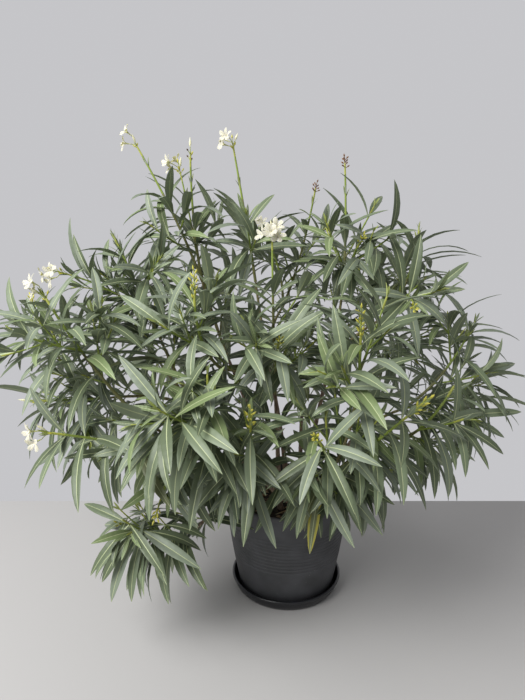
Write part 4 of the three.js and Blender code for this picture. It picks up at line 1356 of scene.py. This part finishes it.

# %% [markdown]
# Shades are dealt out leaf by leaf. The youngest leaves are yellow-green, most are a sage green of four close
# shades, the oldest are duller and a few turn yellow. Those on the inner twigs are dark: that is painted
# shade, for the inside of the crown where little light falls. Each row below lists up to which draw a leaf of
# that age gets which shade.

# %% Leaf shades
WARM = {"young", "yellow"}
SHADED_INNER_RANK, LAST_GROWN_WHORL = 3, 7
SHADES_BY_AGE = {
    # painted shade: leaves of the inner twigs get the dark colours, for the shade inside the crown
    "inner": [(0.4, "deep"), (1, "inner")],
    "youngest": [(0.6, "young"), (1, "fresh")],
    "young": [(0.7, "fresh"), (1, "sage")],
    "grown": [(0.12, "fresh"), (0.5, "sage"), (0.78, "grey-sage"), (1, "deep")],
    "old": [(0.03, "yellow"), (0.35, "dull"), (1, "deep")],
}


def slots_of(shade, margin):
    """The material number of each zone of a leaf of that shade."""
    names, warm = list(BLADES), shade in WARM
    rib = len(names) + warm
    under = len(names) + len(MIDRIBS) + (2 if shade == "dry" else warm)
    blade, edge = names.index(shade), names.index(margin)
    return {"blade": blade, "margin": edge, "rib": rib, "keel": rib, "under": under}


def shade_of(leaf):
    """Deals out a shade by the age of the leaf and its own draw, with dark painted shade for leaves of the
    inner twigs.
    """
    age = "youngest" if leaf["whorl"] == 0 else "young" if leaf["whorl"] == 1 else "grown"
    age = "inner" if leaf["rank"] == SHADED_INNER_RANK else "old" if leaf["whorl"] > LAST_GROWN_WHORL else age
    chance = draw(*leaf["keys"], 7)
    return next(shade for limit, shade in SHADES_BY_AGE[age] if chance < limit)


print("the first leaves are", [shade_of(leaf) for leaf in leaves[:4]])

# %% [markdown]
# One leaf that hangs over the rim of the pot is turning yellow from its edges. It is found as the leaf whose
# tip is nearest to that place, so that it stays there if the rule is changed.

# %% Curves and colours of each leaf
YELLOWING_TIP = np.array([0.055, -0.33, 0.235])
EXTRA_ARCH, EXTRA_ARCH_SHARES, TWIST, SWAY = 0.10, (0.3, 1), 16, 0.06
FOLD = (9, 24)

tips = np.array([leaf["root"] + leaf["length"] * leaf["direction"] for leaf in leaves])
yellowing = int(np.linalg.norm(tips - YELLOWING_TIP, axis=1).argmin())
for index, leaf in enumerate(leaves):
    keys, opened = leaf["keys"], leaf["arch"] / LEAF_ARCH
    leaf["arch"] += EXTRA_ARCH * between(EXTRA_ARCH_SHARES, opened) * draw(*keys, 8)
    leaf["fold"] = math.radians(between(FOLD, draw(*keys, 9)))
    leaf["twist"] = math.radians(draw_about(TWIST, *keys, 10))
    leaf["sway"] = draw_about(SWAY, *keys, 11)
    shade = shade_of(leaf)
    margin = "yellow" if index == yellowing else shade
    leaf["slots"] = slots_of("dull" if index == yellowing else shade, margin)
print("the yellowing leaf hangs at", tips[yellowing].round(3))

# %% [markdown]
# The meshes are made from arrays: all points, then all faces, each face with its material. The UV map runs
# across the leaf and along it. One joined mesh for each part of the crown keeps every piece light.

# %% Join ribbons into a piece
RING_AT = np.array([0, 0.25, 0.45, 0.55, 0.75, 1, 0.55, 0.45])


def mesh_piece(name, points, faces, finishes, slots):
    """Makes a piece from its points, its faces and the material number of each face."""
    mesh = bpy.data.meshes.new(name)
    mesh.from_pydata(points.tolist(), [], faces)
    for finish in finishes:
        mesh.materials.append(finish)
    mesh.polygons.foreach_set("material_index", np.array(slots, np.int32))
    mesh.update()
    piece = bpy.data.objects.new(name, mesh)
    bpy.context.scene.collection.objects.link(piece)
    return piece


def ribbon_piece(name, rows, finishes, outline_at=OUTLINE_AT, outline_width=OUTLINE_WIDTH):
    """One joined mesh of many leaves or petals."""
    points = ribbons(rows, outline_at, outline_width)
    count, stations = points.shape[:2]
    faces, zones = ribbon_faces(stations)
    all_faces = (faces + np.arange(count)[:, None, None] * stations * RING).reshape(-1, 4)
    slots = [row["slots"][zone] for row in rows for zone in zones]
    piece = mesh_piece(name, points.reshape(-1, 3), all_faces.tolist(), finishes, slots)
    place = np.stack(np.broadcast_arrays(RING_AT, outline_at[:, None]), axis=2).reshape(-1, 2)
    corner_places = np.tile(place[faces.ravel()], (count, 1))
    piece.data.uv_layers.new(name="along the leaf").data.foreach_set("uv", corner_places.ravel())
    return piece


def nodes_in(part):
    return ["foliage-" + name for name, row in MASSES.items() if row[0] == part]


for part in PARTS:
    rows = [leaf for leaf in leaves if PART_OF[leaf["mass"]] == part]
    piece = ribbon_piece("leaves-" + part, rows, leaf_finishes)
    finish_piece(piece, "leaves-" + part, nodes_in(part))

# %% [markdown]
# ## Twigs
# A shoot is green and round, thicker at every whorl where the leaf stalks meet it, and yellower towards its
# tip. Its rings are a few millimetres apart, so that the swellings show. The first ring lies inside the
# limb or shoot that it grows from.

# %% Helper for thin tubes
TWIG_SIDES = 7
TWIG_STEP = 0.0055
NODE_SWELLING, NODE_WIDTH = 0.0007, 0.0035


def new_heap():
    return {"points": [], "faces": [], "slots": [], "count": 0}


def add_tube(heap, points, headings, reference, radii, slots, sides=TWIG_SIDES):
    """Adds a tube that is closed at both ends, ring by ring, with a material for each ring."""
    angle = np.arange(sides) * 2 * math.pi / sides
    rights = unit(reference - headings * (headings @ reference)[:, None])
    backs = np.cross(headings, rights)
    spokes = rights[:, None] * np.cos(angle)[:, None] + backs[:, None] * np.sin(angle)[:, None]
    heap["points"].append((points[:, None] + radii[:, None, None] * spokes).reshape(-1, 3))
    first, rings = heap["count"], len(points)
    for ring in range(rings - 1):
        low, high = first + ring * sides, first + (ring + 1) * sides
        for corner in range(sides):
            after = (corner + 1) % sides
            heap["faces"].append((low + corner, low + after, high + after, high + corner))
            heap["slots"].append(slots[ring])
    heap["faces"].append(tuple(first + corner for corner in reversed(range(sides))))
    heap["faces"].append(tuple(first + (rings - 1) * sides + corner for corner in range(sides)))
    heap["slots"] += [slots[0], slots[-1]]
    heap["count"] += rings * sides


def heap_piece(name, heap, finishes):
    """Makes one mesh of all that lies on a heap."""
    return mesh_piece(name, np.concatenate(heap["points"]), heap["faces"], finishes, heap["slots"])


print("twigs have", TWIG_SIDES, "sides and a ring every", TWIG_STEP, "m")

# %% [markdown]
# The twigs' colours are dealt out by age, which is the distance below the tip: yellow-green, then green, and
# olive near the wood. A gradient would need a map of each twig, and the steps hide behind the leaf stalks.

# %% Twigs
TWIG_COLOURS = {"yellow-green": 0xA9AE4C, "green": 0x84963F, "olive": 0x7A7B4A}
TWIG_AGES = (0.035, 0.16)
TWIG_GRAIN, TWIG_ROUGHNESS = (0.002, 0.0004), 0.55
TWIG_END, FEWEST_RINGS = 0.4, 4


def twig_finish(name, colour):
    finish = new_finish(name + " twig", colour, TWIG_ROUGHNESS)
    add_noise_grain(finish, *TWIG_GRAIN)
    return finish


twig_finishes = [twig_finish(name, colour) for name, colour in TWIG_COLOURS.items()]


def add_twig(heap, shoot, bare):
    """Puts one shoot on the heap, with a swelling at each of its whorls."""
    rings = max(int(shoot["length"] / TWIG_STEP), FEWEST_RINGS)
    depths = np.linspace(shoot["length"], 0, rings)
    places = [below_tip(shoot, depth) for depth in depths]
    points, headings = (np.array(values) for values in zip(*places))
    tip_radius = TIP_RADII[shoot["rank"]]
    radii = tip_radius + (shoot["radius"] - tip_radius) * depths / shoot["length"]
    whorls = WHORL_DEPTHS[:, None] + bare
    radii += (NODE_SWELLING * np.exp(-(((depths - whorls) / NODE_WIDTH) ** 2))).sum(0)
    radii[-1] *= TWIG_END
    slots = np.searchsorted(TWIG_AGES, depths)
    add_tube(heap, points, headings, shoot["reference"], radii, slots)


for part in PARTS:
    heap = new_heap()
    for mass in range(len(NAMES)):
        for number, shoot in enumerate(shoots[mass] if PART_OF[mass] == part else ()):
            add_twig(heap, shoot, bare_stretch(mass, number))
    twigs = heap_piece("twigs-" + part, heap, twig_finishes)
    finish_piece(twigs, "twigs-" + part, nodes_in(part))

# %% [markdown]
# ## Blossom
# The flowers stand in loose heads at the tips: two to five open ones, white with a hint of cream, and by
# them pointed buds on thin stalks. Light goes through a petal, so its shader gets some subsurface
# scattering, where the leaves stay solid.

# %% Flower finishes
PETAL_COLOURS = {"petal": 0xD6D1BC, "back of the petal": 0xCFCAA6}
PETAL_SCATTERING, PETAL_DEPTHS = 0.7, (0.004, 0.004, 0.003)
PETAL_GRAIN, PETAL_ROUGHNESS = (0.0015, 0.0003), 0.6
HEAD_COLOURS = {
    "stalk": 0x9BA550, "throat": 0xDADCA4, "cream": 0xEDE9C8, "yellow": 0xCBC556, "dark": 0x5E4A38,
    "brown": 0x7A5638,
}


def flower_finish(name, colour):
    finish = new_finish(name, colour, PETAL_ROUGHNESS)
    shader = finish.node_tree.nodes["Principled BSDF"]
    shader.inputs["Subsurface Weight"].default_value = PETAL_SCATTERING
    shader.inputs["Subsurface Radius"].default_value = PETAL_DEPTHS
    shader.inputs["Subsurface Scale"].default_value = 1
    add_noise_grain(finish, *PETAL_GRAIN)
    return finish


head_finishes = [flower_finish(name + " of the blossom", colour) for name, colour in HEAD_COLOURS.items()]
petal_finishes = [flower_finish(name, colour) for name, colour in PETAL_COLOURS.items()]
print("finishes of the blossom:", list(HEAD_COLOURS) + list(PETAL_COLOURS))

# %% [markdown]
# A flower is a narrow tube with five petals that are set a little askew, like the blades of a fan. The petals
# are ribbons, as the leaves are, with another outline. Axes, stalks and buds are short tubes with a radius
# for each ring, and they all go on one heap, as the twigs do.

# %% Flower parts
PETALS = 5
PETAL_AT = np.array([0, 0.16, 0.36, 0.58, 0.78, 0.92, 1])
PETAL_WIDTH = np.array([0.26, 0.38, 0.66, 0.94, 1, 0.82, 0.4])
PETAL_LENGTH, PETAL_BREADTH = 0.0225, 0.0145
PETAL_OPENING, OPENING_JITTER, PETAL_LENGTH_SPREAD, PETAL_SET_OUT = 62, 12, 0.12, 0.0015
PETAL_CURVES = {"arch": 0.12, "fold": 0.1, "twist": 0.6, "sway": 0.14}
PETAL_SLOTS = {"blade": 0, "margin": 0, "rib": 0, "keel": 1, "under": 1}
TUBE_LENGTH = 0.018
TUBE_RADII = np.array([0.0012, 0.0015, 0.0019, 0.0031])
petal_rows, head_heap = [], new_heap()


def straight(point, heading, length, rings):
    """The points of a short straight tube."""
    return point + np.linspace(0, length, rings)[:, None] * heading, np.tile(heading, (rings, 1))


def add_stick(point, heading, length, radii, what, sides):
    """Puts a short tube of the blossom's colours on the heap, and returns where it ends."""
    points, headings = straight(point, heading, length, len(radii))
    slots = [list(HEAD_COLOURS).index(what)] * len(radii)
    add_tube(head_heap, points, headings, reference_for(heading, MOSTLY_ALONG_X), radii, slots, sides)
    return points[-1]


def add_flower(point, heading, keys):
    """A tube with five petals round its mouth."""
    mouth = add_stick(point, heading, TUBE_LENGTH, TUBE_RADII, "throat", TWIG_SIDES)
    sides = square_to(heading, reference_for(heading, MOSTLY_ALONG_X))
    for number in range(PETALS):
        turn = 2 * math.pi * (number / PETALS + draw(*keys, 31))
        opened = math.radians(PETAL_OPENING + draw_about(OPENING_JITTER, *keys, number, 32))
        direction = leaning(heading, sides, turn, opened)
        petal_rows.append(PETAL_CURVES | {
            "root": mouth + PETAL_SET_OUT * beside(sides, turn), "direction": direction,
            "upper": square_to(direction, heading)[0], "width": PETAL_BREADTH, "slots": PETAL_SLOTS,
            "length": PETAL_LENGTH * (1 + draw_about(PETAL_LENGTH_SPREAD, *keys, number, 33)),
        })


print("a flower is about", round(2 * PETAL_LENGTH * math.sin(math.radians(PETAL_OPENING)), 3), "m across")

# %% [markdown]
# Heads before they bloom are yellow-green, open ones hold flowers among their buds, and some tall shoots
# still have the dry brown head of an earlier bloom. A table says what the stalks of each kind end in. One
# head of each kind could be modelled and copied, but on a real plant no two are the same.

# %% Kinds of heads
# What its stalks end in from the tip down, the step between two stalks, and how far the axis runs on
HEADS = {
    "full": (["cream", "flower", "flower", "flower", "flower", "cream", "flower", "yellow"], 0.004, 0.012),
    "blossom": (["yellow", "flower", "flower", "cream", "flower"] + ["yellow"] * 3, 0.004, 0.012),
    "single": (["flower", "flower", "cream", "yellow", "yellow"], 0.005, 0.010),
    "budding": (["cream", "dark", "yellow", "dark", "dark"], 0.009, 0.010),
    "raceme": (["yellow"] * 14, 0.005, 0.045),
    "buds": (["yellow"] * 8, 0.004, 0.020),
    "seed": (["brown"] * 10, 0.003, 0.010),
}

# The shortest and the longest stalk under it, and the degrees that they lean out by
STALKS = {
    "flower": (0.010, 0.022, 58), "cream": (0.008, 0.018, 28), "yellow": (0.005, 0.011, 34),
    "dark": (0.012, 0.020, 46), "brown": (0.005, 0.012, 50),
}

# The length and the radius of a bud, and the share of that radius that each of its rings has
BUDS = {
    "cream": (0.027, 0.0036), "yellow": (0.013, 0.0026), "dark": (0.008, 0.0026), "brown": (0.009, 0.0026),
}
BUD_SHAPE = np.array([0.35, 0.75, 1, 0.8, 0.45, 0.1])
print("stalks on each kind of head:", {kind: len(whats) for kind, (whats, _, _) in HEADS.items()})

# %% [markdown]
# A head is drawn by the same kind of rule as a shoot. Its axis runs on a little beyond the tip, and stalks
# leave it one below another, each on its own side, and end in a flower or a bud. Open flowers turn away
# from the middle of the plant, towards the light.

# %% Flower heads
STALK_RADIUS = 0.0010
TURN_OF_STALKS = 2.4
FIRST_SPREAD, STALK_JITTER = 8, 12
AXIS_RINGS, STALK_RINGS, STALK_SIDES, BUD_SIDES = 5, 3, 5, 6
HEAD_KEY = 50
SUNNY_SIDE = np.array([-0.5, -1.1, 0.2])


def add_head(shoot, kind, keys):
    """Puts the axis, the stalks, the buds and the flowers of one head at the tip of a shoot."""
    whats, step, reach = HEADS[kind]
    tip, onwards = shoot["points"][-1], shoot["headings"][-1]
    axis_radii = np.linspace(TIP_RADII[0], STALK_RADIUS, AXIS_RINGS)
    add_stick(tip, onwards, reach, axis_radii, "brown" if kind == "seed" else "stalk", TWIG_SIDES)
    for number, what in enumerate(whats):
        point, heading = below_tip(shoot, max(step * number - reach, 0))
        point = point + heading * max(reach - step * number, 0)
        turn = TURN_OF_STALKS * number + 2 * math.pi * draw(*keys, 41)
        shortest, longest, spread = STALKS[what]
        spread = FIRST_SPREAD if number == 0 else spread + draw_about(STALK_JITTER, *keys, number, 42)
        towards = leaning(heading, square_to(heading, shoot["reference"]), turn, math.radians(spread))
        length = between((shortest, longest), draw(*keys, number, 43))
        stalk = "brown" if what == "brown" else "stalk"
        end = add_stick(point, towards, length, np.full(STALK_RINGS, STALK_RADIUS), stalk, STALK_SIDES)
        if what == "flower":
            away = unit(point * np.array([1, 1, 0])) / 2 + SUNNY_SIDE
            add_flower(end, unit(towards + away), (*keys, number))
        else:
            add_stick(end, towards, BUDS[what][0], BUDS[what][1] * BUD_SHAPE, what, BUD_SIDES)


blooming = []
for mass, (name, (_, _, _, _, habits)) in enumerate(MASSES.items()):
    for number, kind in enumerate(habits.get("heads", [])):
        if kind != "tuft":
            add_head(shoots[mass][number], kind, (mass, HEAD_KEY + number))
            blooming.append("foliage-" + name)
blooming = sorted(set(blooming))
petals = ribbon_piece("petals", petal_rows, petal_finishes, PETAL_AT, PETAL_WIDTH)
finish_piece(petals, "petals", blooming)
finish_piece(heap_piece("flower-heads", head_heap, head_finishes), "flower-heads", blooming)
print("flowers:", len(petal_rows) // PETALS)

# %% [markdown]
# ## What lies on the soil
# Under an oleander lie its own dry leaves and chips of bark. A particle system could scatter them, but draws
# leave each one where it is when their number changes. A dry leaf is the ribbon of a green one, short and in
# a dry colour, which lies nearly flat and is twisted more.

# %% Dry leaves
DRY_LEAVES, DRY_KEY = 26, 61
DRY_LENGTHS, DRY_WIDTH = (0.05, 0.11), 0.015
LITTER_REACH, LITTER_HEIGHTS = 0.150, (0.003, 0.007)
LITTER_ARCH, LITTER_TILT, LITTER_FOLD, LITTER_TWIST, LITTER_SWAY = 0.05, 0.3, 0.5, 1, 0.1


def lying(number, kind, length, width):
    """A flat piece at a drawn place on the soil."""
    spot = math.sqrt(draw(number, kind, 1)) * LITTER_REACH
    around, facing = (2 * math.pi * draw(number, kind, key) for key in (2, 3))
    tilt = draw_about(LITTER_TILT, number, kind, 4)
    direction = unit(np.array([math.cos(facing), math.sin(facing), tilt]))
    height = SOIL_TOP + between(LITTER_HEIGHTS, draw(number, kind, 5))
    middle = np.array([spot * math.cos(around), spot * math.sin(around), height])
    return {
        "root": middle - direction * length / 2, "direction": direction,
        "upper": square_to(direction, UP)[0], "length": length, "width": width, "arch": LITTER_ARCH,
        "fold": draw_about(LITTER_FOLD, number, kind, 6), "twist": draw_about(LITTER_TWIST, number, kind, 7),
        "sway": draw_about(LITTER_SWAY, number, kind, 8),
    }


dry_rows = [
    lying(number, DRY_KEY, between(DRY_LENGTHS, draw(number, DRY_KEY + 1)), DRY_WIDTH)
    for number in range(DRY_LEAVES)
]
for row in dry_rows:
    row["slots"] = slots_of("dry", "dry")
dry_leaves = ribbon_piece("dry-leaves", dry_rows, leaf_finishes)
finish_piece(dry_leaves, "dry-leaves", ["soil"])

# %% [markdown]
# The chips are ribbons too, short and blunt, in three browns that a draw deals out. Boxes would do from
# further away, but the folds and turned edges of a ribbon look like torn bark.

# %% Bark chips
CHIPS, CHIP_KEY = 240, 71
CHIP_LENGTHS, CHIP_BREADTH = (0.010, 0.030), 0.007
CHIP_AT = np.array([0, 0.2, 0.5, 0.8, 1])
CHIP_WIDTH = np.array([0.5, 0.9, 1, 0.8, 0.3])
CHIP_GRAIN, CHIP_ROUGHNESS = (0.003, 0.001), 0.9
CHIP_COLOURS = {"bark chip": 0x5A4433, "dark chip": 0x37291F, "pale chip": 0x8C7358}

chip_finishes = [new_finish(name, colour, CHIP_ROUGHNESS) for name, colour in CHIP_COLOURS.items()]
for finish in chip_finishes:
    add_noise_grain(finish, *CHIP_GRAIN)
chip_rows = [
    lying(number, CHIP_KEY, between(CHIP_LENGTHS, draw(number, CHIP_KEY + 1)), CHIP_BREADTH)
    for number in range(CHIPS)
]
for number, row in enumerate(chip_rows):
    row["slots"] = dict.fromkeys(ZONES, int(draw(number, CHIP_KEY + 2) * len(chip_finishes)))
chips = ribbon_piece("bark-chips", chip_rows, chip_finishes, CHIP_AT, CHIP_WIDTH)
finish_piece(chips, "bark-chips", ["soil"])

# %% [markdown]
# ## Measure and finish
# The dressed plant has to be as large as its solids, so how far its box differs from theirs at each side is
# printed.

# %% Sizes
new_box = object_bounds()
ends = zip((*cad_box[0], *cad_box[1]), (*new_box[0], *new_box[1]))
print("grown by", [round(float(after - before) / MM, 1) for before, after in ends], "mm")
